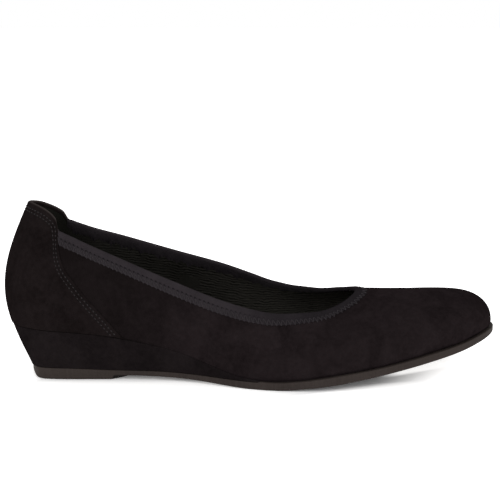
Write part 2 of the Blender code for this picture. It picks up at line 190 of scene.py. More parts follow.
# Outsole along its length: underside, and top face where the wedge stands on it
SOLE_LINE = table(
    "x      under   spring   top",
    (0, 2.0, 0.0, 5.9),
    (30, 2.0, 0.0, 5.8),
    (60, 2.0, 0.0, 4.8),
    (85, 1.8, 0.0, 4.6),
    (102, 1.3, 0.0, 4.4),
    (114, 0.55, 0.0, 4.1),
    (126, 0.0, 0.0, 3.8),
    (140, 0.0, 0.0, 3.8),
    (152, 0.0, 0.9, 3.8),
    (164, 0.0, 2.1, 3.8),
    (176, 0.0, 3.9, 3.8),
    (187, 0.0, 5.7, 3.8),
    (201, 0.0, 7.8, 3.8),
    (217, 0.0, 10.1, 3.8),
    (234, 0.0, 12.8, 3.8),
    (246, 0.0, 15.5, 3.8),
    (254, 0.0, 17.5, 3.8),
)

LAST_PLACE = FOOT["place"][-1]
RING_LENGTH = 2 * LAST_PLACE


# Curves through the tables


def smooth(places, values, at):
    """Cubic through a table's column that never overshoots its rows."""
    steps = np.diff(places)
    slopes = np.diff(values) / steps
    tangents = np.concatenate([slopes[:1], np.zeros(len(slopes) - 1), slopes[-1:]])
    for i in range(1, len(slopes)):
        before, after = slopes[i - 1], slopes[i]
        if before * after > 0:
            near, far = 2 * steps[i] + steps[i - 1], steps[i] + 2 * steps[i - 1]
            tangents[i] = (near + far) / (near / before + far / after)
    at = np.clip(np.asarray(at, float), places[0], places[-1])
    i = np.clip(np.searchsorted(places, at, side="right") - 1, 0, len(steps) - 1)
    t = (at - places[i]) / steps[i]
    rest = 1 - t
    return (
        (1 + 2 * t) * rest**2 * values[i]
        + t * rest**2 * steps[i] * tangents[i]
        + t**2 * (3 - 2 * t) * values[i + 1]
        - t**2 * rest * steps[i] * tangents[i + 1]
    )


def closed_spline(knots, at):
    """Closed curve through evenly spaced knots, smooth in its bend too."""
    count = len(knots)
    turn = np.eye(count)
    matrix = 4 * turn + np.roll(turn, 1, axis=1) + np.roll(turn, -1, axis=1)
    tangents = np.linalg.solve(matrix, 3 * (np.roll(knots, -1, axis=0) - np.roll(knots, 1, axis=0)))
    at = np.asarray(at, float) % count
    i = np.floor(at).astype(int) % count
    j = (i + 1) % count
    t = (at - np.floor(at))[..., None]
    rest = 1 - t
    return (
        (1 + 2 * t) * rest**2 * knots[i]
        + t * rest**2 * tangents[i]
        + t**2 * (3 - 2 * t) * knots[j]
        - t**2 * rest * tangents[j]
    )


def unit(vectors):
    """Vectors brought to length 1."""
    return vectors / np.linalg.norm(vectors, axis=-1, keepdims=True)


def lengths_along(path):
    """Length from a path's start to each of its points."""
    return np.concatenate([[0.0], np.linalg.norm(np.diff(path, axis=0), axis=1).cumsum()])


def ease(low, high, value):
    """Smooth step from 0 at low to 1 at high."""
    t = np.clip((np.asarray(value, float) - low) / (high - low), 0, 1)
    return t * t * (3 - 2 * t)


def around(places, outer, inner, ring):
    """A column for each side carried once round the ring, smooth where the sides meet."""
    turn = np.concatenate([places, RING_LENGTH - places[-2::-1]])
    values = np.concatenate([outer, inner[-2::-1]])
    turn = np.concatenate([turn[-2:-1] - RING_LENGTH, turn, turn[1:2] + RING_LENGTH])
    values = np.concatenate([values[-2:-1], values, values[1:2]])
    return smooth(turn, values, np.asarray(ring, float) % RING_LENGTH)


# The last: bottom edge, collar and the wall between them


def seat_height(x):
    """Height of the upper's bottom edge."""
    heel = smooth(SEAT_LINE["x"], SEAT_LINE["heel"], x)
    return heel + smooth(SEAT_LINE["x"], SEAT_LINE["spring"], x)


def outline(rows, ring):
    """Closed outline in plan through the two sides of a table."""
    outer = np.column_stack([rows["out_x"], rows["out_y"]])
    inner = np.column_stack([rows["in_x"], rows["in_y"]])
    return closed_spline(np.concatenate([outer, inner[-2:0:-1]]), ring)


def outward_of(rows, ring):
    """Level direction out of an outline."""
    ring = np.asarray(ring, float)
    along = outline(rows, ring + STEP) - outline(rows, ring - STEP)
    return unit(np.stack([along[..., 1], -along[..., 0], np.zeros(ring.shape)], axis=-1))


def foot_edge(ring):
    """Bottom edge of the upper."""
    plan = outline(FOOT, ring)
    return np.concatenate([plan, seat_height(plan[..., :1])], axis=-1)


def collar_edge(ring):
    """Top edge of the upper."""
    axes = [around(COLLAR["place"], COLLAR["out_" + axis], COLLAR["in_" + axis], ring) for axis in "xyz"]
    return np.stack(axes, axis=-1)


def wall(ring, height):
    """Outer face of the upper at a ring place and a height share."""
    ring, height = np.broadcast_arrays(np.asarray(ring, float), np.asarray(height, float))
    rise, flare, run, slope = (
        around(PROFILE["place"], PROFILE[column], PROFILE[column], ring)[..., None]
        for column in ("rise", "flare", "run", "slope")
    )
    flare, slope = np.radians(flare), np.radians(slope)
    foot, collar, outward = foot_edge(ring), collar_edge(ring), outward_of(FOOT, ring)
    level_ray = (foot - collar) * (1, 1, 0)
    fan = unit(level_ray + FAN_SPREAD * outward)
    foot_handle = foot + rise * (np.cos(flare) * UP + np.sin(flare) * outward)
    collar_handle = collar + run * (np.cos(slope) * fan - np.sin(slope) * UP)
    t = height[..., None]
    rest = 1 - t
    return rest**3 * foot + 3 * t * rest**2 * foot_handle + 3 * t**2 * rest * collar_handle + t**3 * collar


def wall_frame(ring, height):
    """Outward normal of the wall, and its direction up towards the collar."""
    upward = unit(wall(ring, np.asarray(height) + STEP) - wall(ring, np.asarray(height) - STEP))
    along = wall(np.asarray(ring) + STEP, height) - wall(np.asarray(ring) - STEP, height)
    return unit(np.cross(along, upward)), upward


def wall_offset(ring, height, out):
    """Point off the upper's outer face, outwards if out is positive."""
    normal, _ = wall_frame(ring, height)
    return wall(ring, height) + np.asarray(out, float)[..., None] * normal


def height_below_collar(ring, depth):
    """Height share of the point that lies a distance down the wall from the collar."""
    ring = np.atleast_1d(ring)
    shares = np.linspace(1, 0.2, 80)
    run = wall(ring[:, None], shares[None, :])
    lengths = np.linalg.norm(np.diff(run, axis=1), axis=2).cumsum(axis=1)
    lengths = np.concatenate([np.zeros((len(ring), 1)), lengths], axis=1)
    depth = np.broadcast_to(depth, ring.shape)
    return np.array([np.interp(d, length, shares) for d, length in zip(depth, lengths)])


def wedge_floor(x):
    """Top face of the outsole where the wedge stands on it."""
    return smooth(SOLE_LINE["x"], SOLE_LINE["top"], x)


def wedge_lip(x):
    """How far the wedge's top edge stands out under the upper: most under the heel counter."""
    share = np.clip((np.asarray(x) - WEDGE_LIP_START) / WEDGE_LIP_RUN, 0, 1)
    return WEDGE_LIP_HEEL + (WEDGE_LIP_FRONT - WEDGE_LIP_HEEL) * share


def wedge_foot(ring):
    """Bottom edge of the wedge in plan, set back from the sole's edge but standing over it at the back."""
    outward = outward_of(SOLE, ring)[:, :2]
    setback = WEDGE_SETBACK - WEDGE_BACK_OVERHANG * np.clip(-outward[:, :1], 0, 1) ** 2
    return outline(SOLE, ring) - setback * outward


def sole_top(x):
    """Top face of the outsole, under the wedge and, in front of it, under the upper."""
    under_upper = seat_height(x) - GAP
    return np.where(x < WEDGE_LIMIT, np.minimum(wedge_floor(x), under_upper), under_upper)


def sole_under(x, bow=0.0):
    """Underside of the outsole: heel pad with its bowed front, raised waist and toe spring."""
    waist = smooth(SOLE_LINE["x"], SOLE_LINE["under"], x)
    pad = np.clip((x - HEEL_PAD_END - bow) / HEEL_STEP_RUN, 0, 1)
    return waist * pad + smooth(SOLE_LINE["x"], SOLE_LINE["spring"], x)


def side_places(steps, first=0.0, last=LAST_PLACE, extra=()):
    """Ring places along the outer side, half a step clear of the centre back and of the tip."""
    places = (np.arange(steps) + 0.5) / steps * LAST_PLACE
    places = places[(places >= first) & (places <= last)]
    return np.sort(np.concatenate([places, extra]))


def place_at(x, rows):
    """Ring places on the outer side where an outline reaches given values of x."""
    places = np.linspace(0, LAST_PLACE, 1201)
    return np.interp(x, outline(rows, places)[:, 0], places)


def frame_middle():
    """Middle of the shoe's length and width, where the frame has its origin."""
    sole = outline(SOLE, np.linspace(0, RING_LENGTH, 481))
    back = wall_offset(0.0, np.linspace(0, 1, 41), GAP + COUNTER_THICK)
    middle_x = (back[:, 0].min() + sole[:, 0].max()) / 2
    middle_y = (sole[:, 1].min() + sole[:, 1].max()) / 2
    return np.array([middle_x, middle_y, 0.0])


MIDDLE = frame_middle()


def to_frame(points):
    """Points in millimetres from the heel's back, brought to metres in the frame."""
    return (np.asarray(points, float) - MIDDLE) * MM


# Meshes


def linked(name, data):
    """New object in the scene."""
    thing = bpy.data.objects.new(name, data)
    bpy.context.scene.collection.objects.link(thing)
    return thing


def grid_faces(index):
    """Quads of a grid of point numbers."""
    return np.stack([index[:-1, :-1], index[:-1, 1:], index[1:, 1:], index[1:, :-1]], axis=-1).reshape(-1, 4)


def strip_faces(first, second):
    """Quads between two rows of point numbers."""
    return np.stack([first[:-1], first[1:], second[1:], second[:-1]], axis=-1)


def end_cap(walled, flat, rows):
    """Faces that close a narrow end rung by rung between the side walls at both ends of one row of points."""
    rungs = [[walled[k + 1], walled[k], walled[-1 - k], walled[-2 - k]] for k in range(1, rows - 2)]
    head = walled[rows - 2 : len(walled) - rows + 2][::-1]
    foot = [walled[1], walled[0], *flat, walled[-1], walled[-2]]
    return [*rungs, head, foot]


def shell(name, outer, inner, materials, closed=False, marks=None, sharp=55, outer_walls=0, inner_walls=0):
    """Solid between two facing grids of points; its inner grid takes the last of its materials.

    A closed one runs round and meets itself; an open one is capped at its first and last row. Where a grid
    starts and ends with rows of side wall, the walls are joined at the narrow ends: the back, and the tip
    too on an inner grid. Marks are attributes that its materials read, each a value for every point of
    the outer grid.
    """
    rows, columns = outer.shape[:2]
    points = to_frame(np.concatenate([outer.reshape(-1, 3), inner.reshape(-1, 3)]))
    index_a = np.arange(rows * columns).reshape(rows, columns)
    index_b = index_a + rows * columns
    if closed:
        index_a, index_b = (np.concatenate([index, index[:1]]) for index in (index_a, index_b))
    outside = grid_faces(index_a)
    rims = [strip_faces(index_a[:, 0], index_b[:, 0]), strip_faces(index_b[:, -1], index_a[:, -1])]
    inside = grid_faces(index_b)[:, ::-1]
    quads = np.concatenate([outside, *rims, inside])
    a, b, c, d = (points[quads[:, k]] for k in range(4))
    volume = np.einsum("ij,ij->i", a, np.cross(b, c)).sum() + np.einsum("ij,ij->i", a, np.cross(c, d)).sum()
    caps = []
    if not closed:
        rows_a, rows_b = index_a.tolist(), index_b.tolist()
        first = strip_faces(index_b[0], index_a[0]).tolist()
        last = strip_faces(index_a[-1], index_b[-1]).tolist()
        if outer_walls:
            first = end_cap(rows_a[0], rows_b[0], outer_walls)
        if inner_walls:
            first = [face[::-1] for face in end_cap(rows_b[0], rows_a[0], inner_walls)]
            last = end_cap(rows_b[-1], rows_a[-1], inner_walls)
        caps = first + last
    faces = [*outside.tolist(), *np.concatenate(rims).tolist(), *caps, *inside.tolist()]
    if volume < 0:
        faces = [face[::-1] for face in faces]
    mesh = bpy.data.meshes.new(name)
    mesh.from_pydata(points.tolist(), [], faces)
    for material in materials:
        mesh.materials.append(material)
    lining_from = len(faces) - len(inside)
    slots = np.where(np.arange(len(faces)) >= lining_from, len(materials) - 1, 0).astype(np.int32)
    mesh.polygons.foreach_set("material_index", slots)
    for mark, values in (marks or {}).items():
        attribute = mesh.attributes.new(mark, "FLOAT", "POINT")
        attribute.data.foreach_set("value", np.tile(np.asarray(values, np.float32).reshape(-1), 2))
    form = bmesh.new()
    form.from_mesh(mesh)
    bmesh.ops.remove_doubles(form, verts=form.verts, dist=DOUBLED)
    form.to_mesh(mesh)
    form.free()
    mesh.shade_smooth()
    mesh.set_sharp_from_angle(angle=math.radians(sharp))
    return linked(name, mesh)


def paired(outer, inner, shares):
    """Points across the shoe between an outer and an inner edge, in plan."""
    return outer[:, None, :] * (1 - shares)[None, :, None] + inner[:, None, :] * shares[None, :, None]


def lifted(plan, heights):
    """Points in plan with their heights."""
    return np.concatenate([plan, heights[..., None]], axis=-1)


# Geometry Nodes: stitches laid on a surface, and thread along a path


def feed(tree, socket, value):
    """Links an output to a socket, or sets the socket's value; colours are given without their alpha."""
    if isinstance(value, bpy.types.NodeSocket):
        tree.links.new(value, socket)
    else:
        socket.default_value = (*value, 1.0) if socket.type == "RGBA" else value


def put(tree, kind, settings=None, **sockets):
    """New node with its settings, and its sockets by name: a value, or an output to link."""
    node = tree.nodes.new(kind)
    for key, value in (settings or {}).items():
        setattr(node, key, value)
    for key, value in sockets.items():
        feed(tree, node.inputs[key.replace("_", " ")], value)
    return node


def new_tree(name, inputs):
    """Geometry tree with a geometry input and output and the named inputs, and its two ends."""
    tree = bpy.data.node_groups.new(name, "GeometryNodeTree")
    tree.interface.new_socket("Geometry", in_out="INPUT", socket_type="NodeSocketGeometry")
    for label, kind in inputs:
        tree.interface.new_socket(label, in_out="INPUT", socket_type=kind)
    tree.interface.new_socket("Geometry", in_out="OUTPUT", socket_type="NodeSocketGeometry")
    return tree, tree.nodes.new("NodeGroupInput"), tree.nodes.new("NodeGroupOutput")


def close_tree(tree, start, end, geometry):
    """Realises, shades and gives its material to what a tree has made."""
    real = put(tree, "GeometryNodeRealizeInstances", Geometry=geometry)
    soft = put(tree, "GeometryNodeSetShadeSmooth", Geometry=real.outputs["Geometry"])
    dressed = put(
        tree, "GeometryNodeSetMaterial", Geometry=soft.outputs["Geometry"], Material=start.outputs["Material"]
    )
    tree.links.new(dressed.outputs["Geometry"], end.inputs["Geometry"])
    return tree


def stitch_row_tree():
    """One bead of thread on each point, along its lay and standing on its lift."""
    labels = ("Length", "Width", "Height")
    floats = [(label, "NodeSocketFloat") for label in labels]
    tree, start, end = new_tree("stitch_row", floats + [("Material", "NodeSocketMaterial")])
    bead = put(tree, "GeometryNodeMeshUVSphere", Segments=8, Rings=6, Radius=0.5)
    sides = {axis: start.outputs[label] for axis, label in zip("XYZ", labels)}
    size = put(tree, "ShaderNodeCombineXYZ", **sides)
    sized = put(tree, "GeometryNodeTransform", Geometry=bead.outputs["Mesh"], Scale=size.outputs["Vector"])
    lay, lift = (
        put(tree, "GeometryNodeInputNamedAttribute", {"data_type": "FLOAT_VECTOR"}, Name=name)
        for name in ("lay", "lift")
    )
    turned = put(tree, "FunctionNodeAlignRotationToVector", {"axis": "X"}, Vector=lay.outputs["Attribute"])
    upright = put(
        tree,
        "FunctionNodeAlignRotationToVector",
        {"axis": "Z", "pivot_axis": "X"},
        Rotation=turned.outputs["Rotation"],
        Vector=lift.outputs["Attribute"],
    )
    placed = put(
        tree,
        "GeometryNodeInstanceOnPoints",
        Points=start.outputs["Geometry"],
        Instance=sized.outputs["Geometry"],
        Rotation=upright.outputs["Rotation"],
    )
    return close_tree(tree, start, end, placed.outputs["Instances"])


def thread_run_tree():
    """Round thread along each line of edges."""
    inputs = [("Radius", "NodeSocketFloat"), ("Material", "NodeSocketMaterial")]
    tree, start, end = new_tree("thread_run", inputs)
    path = put(tree, "GeometryNodeMeshToCurve", Mesh=start.outputs["Geometry"]).outputs["Curve"]
    ring = put(tree, "GeometryNodeCurvePrimitiveCircle", Resolution=6, Radius=start.outputs["Radius"])
    swept = put(
        tree, "GeometryNodeCurveToMesh",
        Curve=path, Profile_Curve=ring.outputs["Curve"], Fill_Caps=True,
    )
    return close_tree(tree, start, end, swept.outputs["Mesh"])


def grown(name, mesh, tree, **values):
    """Piece that a geometry tree grows from a mesh, made a plain mesh."""
    piece = linked(name, mesh)
    modifier = piece.modifiers.new(tree.name, "NODES")
    modifier.node_group = tree
    for socket in tree.interface.items_tree:
        if socket.in_out == "INPUT" and socket.name in values:
            modifier[socket.identifier] = values[socket.name]
    bpy.context.view_layer.update()
    graph = bpy.context.evaluated_depsgraph_get()
    plain = bpy.data.meshes.new_from_object(piece.evaluated_get(graph))
    piece.modifiers.clear()
    piece.data = plain
    plain.name = name
    bpy.data.meshes.remove(mesh)
    return piece


def stitch_points(name, places, lays, lifts):
    """Points that carry the way each stitch lies and stands."""
    mesh = bpy.data.meshes.new(name)
    mesh.from_pydata(to_frame(places).tolist(), [], [])
    for label, vectors in (("lay", lays), ("lift", lifts)):
        attribute = mesh.attributes.new(label, "FLOAT_VECTOR", "POINT")
        attribute.data.foreach_set("vector", np.asarray(vectors, np.float32).reshape(-1))
    return mesh


def thread_path(name, path):
    """Line of edges through a path's points."""
    mesh = bpy.data.meshes.new(name)
    mesh.from_pydata(to_frame(path).tolist(), [(i, i + 1) for i in range(len(path) - 1)], [])
    return mesh


# Shader groups


def new_group(name, inputs, outputs):
    """Shader group with named sockets, and its two ends."""
    group = bpy.data.node_groups.new(name, "ShaderNodeTree")
    for way, sockets in (("INPUT", inputs), ("OUTPUT", outputs)):
        for label, kind in sockets:
            group.interface.new_socket(label, in_out=way, socket_type=kind)
    return group, group.nodes.new("NodeGroupInput"), group.nodes.new("NodeGroupOutput")


def math_node(tree, operation, *values):
    """Result of one operation on values or outputs."""
    node = put(tree, "ShaderNodeMath", {"operation": operation})
    for socket, value in zip(node.inputs, values):
        feed(tree, socket, value)
    return node.outputs[0]


def product(tree, first, *others):
    """Product of outputs and values."""
    for other in others:
        first = math_node(tree, "MULTIPLY", first, other)
    return first


def greatest(tree, first, *others):
    """Greatest of some outputs."""
    for other in others:
        first = math_node(tree, "MAXIMUM", first, other)
    return first


def noise(tree, vector, scale, detail=2.0, roughness=0.5, distortion=0.0):
    """Value of a noise at a place."""
    node = put(
        tree, "ShaderNodeTexNoise",
        Vector=vector, Scale=scale, Detail=detail, Roughness=roughness, Distortion=distortion,
    )
    return node.outputs[0]


def remap(tree, value, low, high, new_low=0.0, new_high=1.0):
    """Smooth step between two values."""
    node = put(tree, "ShaderNodeMapRange", {"interpolation_type": "SMOOTHSTEP"})
    for socket, number in zip(node.inputs, (value, low, high, new_low, new_high)):
        feed(tree, socket, number)
    return node.outputs[0]


def blend(tree, share, first, second):
    """Colour between two others."""
    node = put(tree, "ShaderNodeMix", {"data_type": "RGBA"})
    for socket, value in zip((node.inputs[0], *node.inputs[6:8]), (share, first, second)):
        feed(tree, socket, value)
    return node.outputs[2]


def split(tree, vector):
    """Axes of a vector, by name."""
    return put(tree, "ShaderNodeSeparateXYZ", Vector=vector).outputs


def mark_of(tree, name):
    """Value of a mark on the mesh."""
    return put(tree, "ShaderNodeAttribute", {"attribute_name": name}).outputs["Fac"]


def stretched(tree, place, scale):
    """Coordinates drawn out so that a pattern runs in streaks."""
    return put(tree, "ShaderNodeMapping", Vector=place, Scale=scale).outputs["Vector"]


SURFACE = [("Color", "NodeSocketColor"), ("Roughness", "NodeSocketFloat"), ("Height", "NodeSocketFloat")]


def suede_group():
    """Nap of the suede: soft brushed patches, tufts and single fibres."""
    group, start, end = new_group(
        "suede_nap",
        [
            ("Vector", "NodeSocketVector"),
            ("Dark", "NodeSocketColor"),
            ("Light", "NodeSocketColor"),
            ("Patch Size", "NodeSocketFloat"),
        ],
        SURFACE,
    )
    place = start.outputs["Vector"]
    patch = noise(group, place, start.outputs["Patch Size"], 3.0, 0.55, 0.8)
    tuft = noise(group, place, 420.0, 3.0, 0.6, 0.3)
    fibre = noise(group, place, 2600.0, 2.0, 0.6)
    mottle = remap(group, patch, 0.32, 0.68)
    grain = math_node(group, "MULTIPLY_ADD", tuft, 0.55, product(group, fibre, 0.45))
    hairy = product(group, remap(group, grain, 0.3, 0.7), 0.55)
    share = math_node(group, "MULTIPLY_ADD", mottle, 0.45, hairy)
    colour = blend(group, share, start.outputs["Dark"], start.outputs["Light"])
    group.links.new(colour, end.inputs["Color"])
    group.links.new(remap(group, share, 0.0, 1.0, 0.98, 0.86), end.inputs["Roughness"])
    group.links.new(math_node(group, "MULTIPLY_ADD", patch, 0.35, grain), end.inputs["Height"])
    return group


def grain_group():
    """Fine grain of moulded or coated surfaces."""
    group, start, end = new_group(
        "fine_grain",
        [
            ("Vector", "NodeSocketVector"),
            ("Scale", "NodeSocketFloat"),
            ("Dark", "NodeSocketColor"),
            ("Light", "NodeSocketColor"),
            ("Smooth", "NodeSocketFloat"),
            ("Rough", "NodeSocketFloat"),
        ],
        SURFACE,
    )
    place = start.outputs["Vector"]
    cloud = noise(group, place, 45.0, 2.0)
    pores = noise(group, place, start.outputs["Scale"], 3.0, 0.6)
    share = math_node(group, "MULTIPLY_ADD", cloud, 0.5, product(group, pores, 0.5))
    share = remap(group, share, 0.3, 0.7)
    group.links.new(blend(group, share, start.outputs["Dark"], start.outputs["Light"]), end.inputs["Color"])
    spread = math_node(group, "SUBTRACT", start.outputs["Rough"], start.outputs["Smooth"])
    rough = math_node(group, "MULTIPLY_ADD", pores, spread, start.outputs["Smooth"])
    group.links.new(rough, end.inputs["Roughness"])
    group.links.new(pores, end.inputs["Height"])
    return group


SUEDE_NAP = suede_group()
FINE_GRAIN = grain_group()


# Materials


def new_material(name, specular):
    """Material with its tree, its shader, and the Object coordinates that its patterns read."""
    material = bpy.data.materials.new(name)
    material.use_nodes = True
    tree = material.node_tree
    shader = tree.nodes["Principled BSDF"]
    shader.inputs["Specular IOR Level"].default_value = specular
    place = tree.nodes.new("ShaderNodeTexCoord").outputs["Object"]
    return material, tree, shader, place


def dress(tree, shader, colour, roughness, height, distance, strength):
    """Gives a shader its colour, its roughness and the bump of a height."""
    tree.links.new(colour, shader.inputs["Base Color"])
    tree.links.new(roughness, shader.inputs["Roughness"])
    node = put(tree, "ShaderNodeBump", Height=height, Distance=distance, Strength=strength)
    tree.links.new(node.outputs["Normal"], shader.inputs["Normal"])


def grouped(tree, group, **sockets):
    """Outputs of a shader group."""
    return put(tree, "ShaderNodeGroup", {"node_tree": group}, **sockets).outputs


# Colour of the painted shade that darkens the suede towards the heel
PAINTED_HEEL_SHADE = (0.0030, 0.0025, 0.0021)


def suede(name, dark, light, patch_size=55.0, edge=None, painted_heel_shade=0.0):
    """Brushed suede, with painted shade that darkens it towards the heel; a lighter edge colour, a painted
    highlight, shows wherever the mark rim says so.
    """
    material, tree, shader, place = new_material(name, specular=0.0)
    nap = grouped(tree, SUEDE_NAP, Vector=place, Dark=dark, Light=light, Patch_Size=patch_size)
    colour = nap["Color"]
    # Painted shade: darker towards the heel, where the suede turns away from the light
    if painted_heel_shade:
        shade = remap(tree, split(tree, place)["X"], -0.085, -0.015, painted_heel_shade, 0.0)
        colour = blend(tree, shade, colour, PAINTED_HEEL_SHADE)
    # Painted highlight: a lighter colour along the rolled rim, where the fold turns up to the light
    if edge:
        colour = blend(tree, mark_of(tree, "rim"), colour, edge)
    dress(tree, shader, colour, nap["Roughness"], nap["Height"], 0.00025, 0.7)
    return material


RUBBER_DARK = (0.0195, 0.0148, 0.0132)
RUBBER_LIGHT = (0.0315, 0.0245, 0.0220)
RUBBER_STREAK = (0.039, 0.0310, 0.0282)
RUBBER_TOE = (0.0175, 0.0128, 0.0109)
# Colour of the painted shade on the heel pad's front
RUBBER_PAD_PAINTED_SHADE = (0.0050, 0.0042, 0.0040)


def rubber(name):
    """Buffed sole edge: grey-brown with faint upright streaks, and painted shade on the front of the heel
    pad, which faces away from the light.
    """
    material, tree, shader, place = new_material(name, specular=0.08)
    grain = grouped(
        tree, FINE_GRAIN,
        Vector=place, Scale=1300.0, Dark=RUBBER_DARK, Light=RUBBER_LIGHT, Smooth=0.55, Rough=0.8,
    )
    streak = noise(tree, stretched(tree, place, (1.0, 1.0, 0.06)), 1500.0, 2.0, 0.6)
    colour = blend(tree, remap(tree, streak, 0.35, 0.7, 0.0, 0.35), grain["Color"], RUBBER_STREAK)
    axes = split(tree, place)
    colour = blend(tree, remap(tree, axes["X"], 0.02, 0.10, 0.0, 0.5), colour, RUBBER_TOE)
    # Painted shade on the heel pad's front, which faces away from the light
    pad_front_shade = product(
        tree,
        remap(tree, math_node(tree, "ABSOLUTE", axes["Y"]), 0.0235, 0.0246, 0.75, 0.0),
        remap(tree, axes["Z"], 0.0022, 0.0036, 1.0, 0.0),
        remap(tree, axes["X"], -0.0712, -0.0700),
        remap(tree, axes["X"], -0.0550, -0.0500, 1.0, 0.0),
    )
    colour = blend(tree, pad_front_shade, colour, RUBBER_PAD_PAINTED_SHADE)
    height = math_node(tree, "MULTIPLY_ADD", streak, 0.6, grain["Height"])
    dress(tree, shader, colour, grain["Roughness"], height, 0.00012, 0.6)
    return material


def smooth_leather(name, dark, light):
    """Coated leather of the sock."""
    material, tree, shader, place = new_material(name, specular=0.12)
    grain = grouped(
        tree, FINE_GRAIN,
        Vector=place, Scale=1500.0, Dark=dark, Light=light, Smooth=0.5, Rough=0.75,
    )
    dress(tree, shader, grain["Color"], grain["Roughness"], grain["Height"], 0.00015, 0.6)
    return material


# Colours of the lining's grooves and ribs: near the collar's sides, further forward, and inside the toe; the
# grooves are darkened with painted shade, and the paler colours further forward and inside the toe are
# painted light
NEAR_GROOVE_PAINTED_SHADE = (0.0026, 0.0025, 0.0020)
NEAR_DARK = (0.0112, 0.0106, 0.0090)
NEAR_LIGHT = (0.0262, 0.0247, 0.0216)
FORWARD_GROOVE_PAINTED_LIGHT = (0.018, 0.017, 0.0143)
FORWARD_RIB_PAINTED_LIGHT = (0.064, 0.0602, 0.0517)
TOE_GROOVE_PAINTED_LIGHT = (0.085, 0.080, 0.068)
TOE_RIB_PAINTED_LIGHT = (0.17, 0.16, 0.137)
RIB_SWAY = 2.1


def woven_lining(name):
    """Textile with fine wavy ribs, smooth at the heel; painted shade darkens its grooves, and painted light
    makes it paler further forward and inside the toe.
    """
    material, tree, shader, place = new_material(name, specular=0.0)
    rows, ribbed, deep, toe = (mark_of(tree, name) for name in ("rows", "ribbed", "deep", "toe"))
    wander = noise(tree, stretched(tree, place, (0.9, 1.0, 1.0)), 190.0, 3.0, 0.6)
    sway = math_node(tree, "MULTIPLY_ADD", wander, RIB_SWAY, rows)
    wave = math_node(tree, "SINE", product(tree, sway, 2 * math.pi))
    dash = noise(tree, stretched(tree, place, (0.5, 1.0, 1.0)), 460.0, 2.0)
    beat = product(tree, remap(tree, dash, 0.34, 0.58, 0.16, 1.0), ribbed)
    rib = math_node(tree, "MULTIPLY_ADD", product(tree, wave, beat), 0.5, 0.5)
    grain = grouped(
        tree, FINE_GRAIN,
        Vector=place, Scale=2400.0, Dark=NEAR_DARK, Light=NEAR_LIGHT, Smooth=0.7, Rough=0.9,
    )
    # Painted shade in the grooves; painted light further forward and inside the toe
    near = blend(tree, rib, NEAR_GROOVE_PAINTED_SHADE, grain["Color"])
    colour = blend(tree, deep, near, blend(tree, rib, FORWARD_GROOVE_PAINTED_LIGHT, FORWARD_RIB_PAINTED_LIGHT))
    colour = blend(tree, toe, colour, blend(tree, rib, TOE_GROOVE_PAINTED_LIGHT, TOE_RIB_PAINTED_LIGHT))
    height = math_node(tree, "MULTIPLY_ADD", grain["Height"], 0.5, rib)
    dress(tree, shader, colour, grain["Roughness"], height, 0.00025, 0.7)
    return material


def thread(name, dark, light):
    """Twisted sewing thread."""
    material, tree, shader, place = new_material(name, specular=0.1)
    twist = noise(tree, place, 3000.0, 2.0)
    colour = blend(tree, remap(tree, twist, 0.3, 0.7), dark, light)
    dress(tree, shader, colour, remap(tree, twist, 0.3, 0.7, 0.7, 0.9), twist, 0.0001, 0.6)
    return material


NEEDLE_PITCH = 2.35
NEEDLE_DEPTH = 1.8
NEEDLE_RADIUS = 0.72
KNIT_RIB = 0.55
KNIT_COURSE = 0.45
YARN_DARK = (0.0165, 0.0140, 0.0157)
YARN_LIGHT = (0.0258, 0.0218, 0.0243)
# Colours of the painted shade on the tape and in its pleats, then of the painted light on its inner leg at
# the throat
TAPE_PAINTED_SHADE = (0.003, 0.0028, 0.0032)
PLEAT_PAINTED_SHADE = (0.003, 0.0028, 0.0030)
THROAT_LEG_PAINTED_LIGHT = (0.062, 0.056, 0.058)


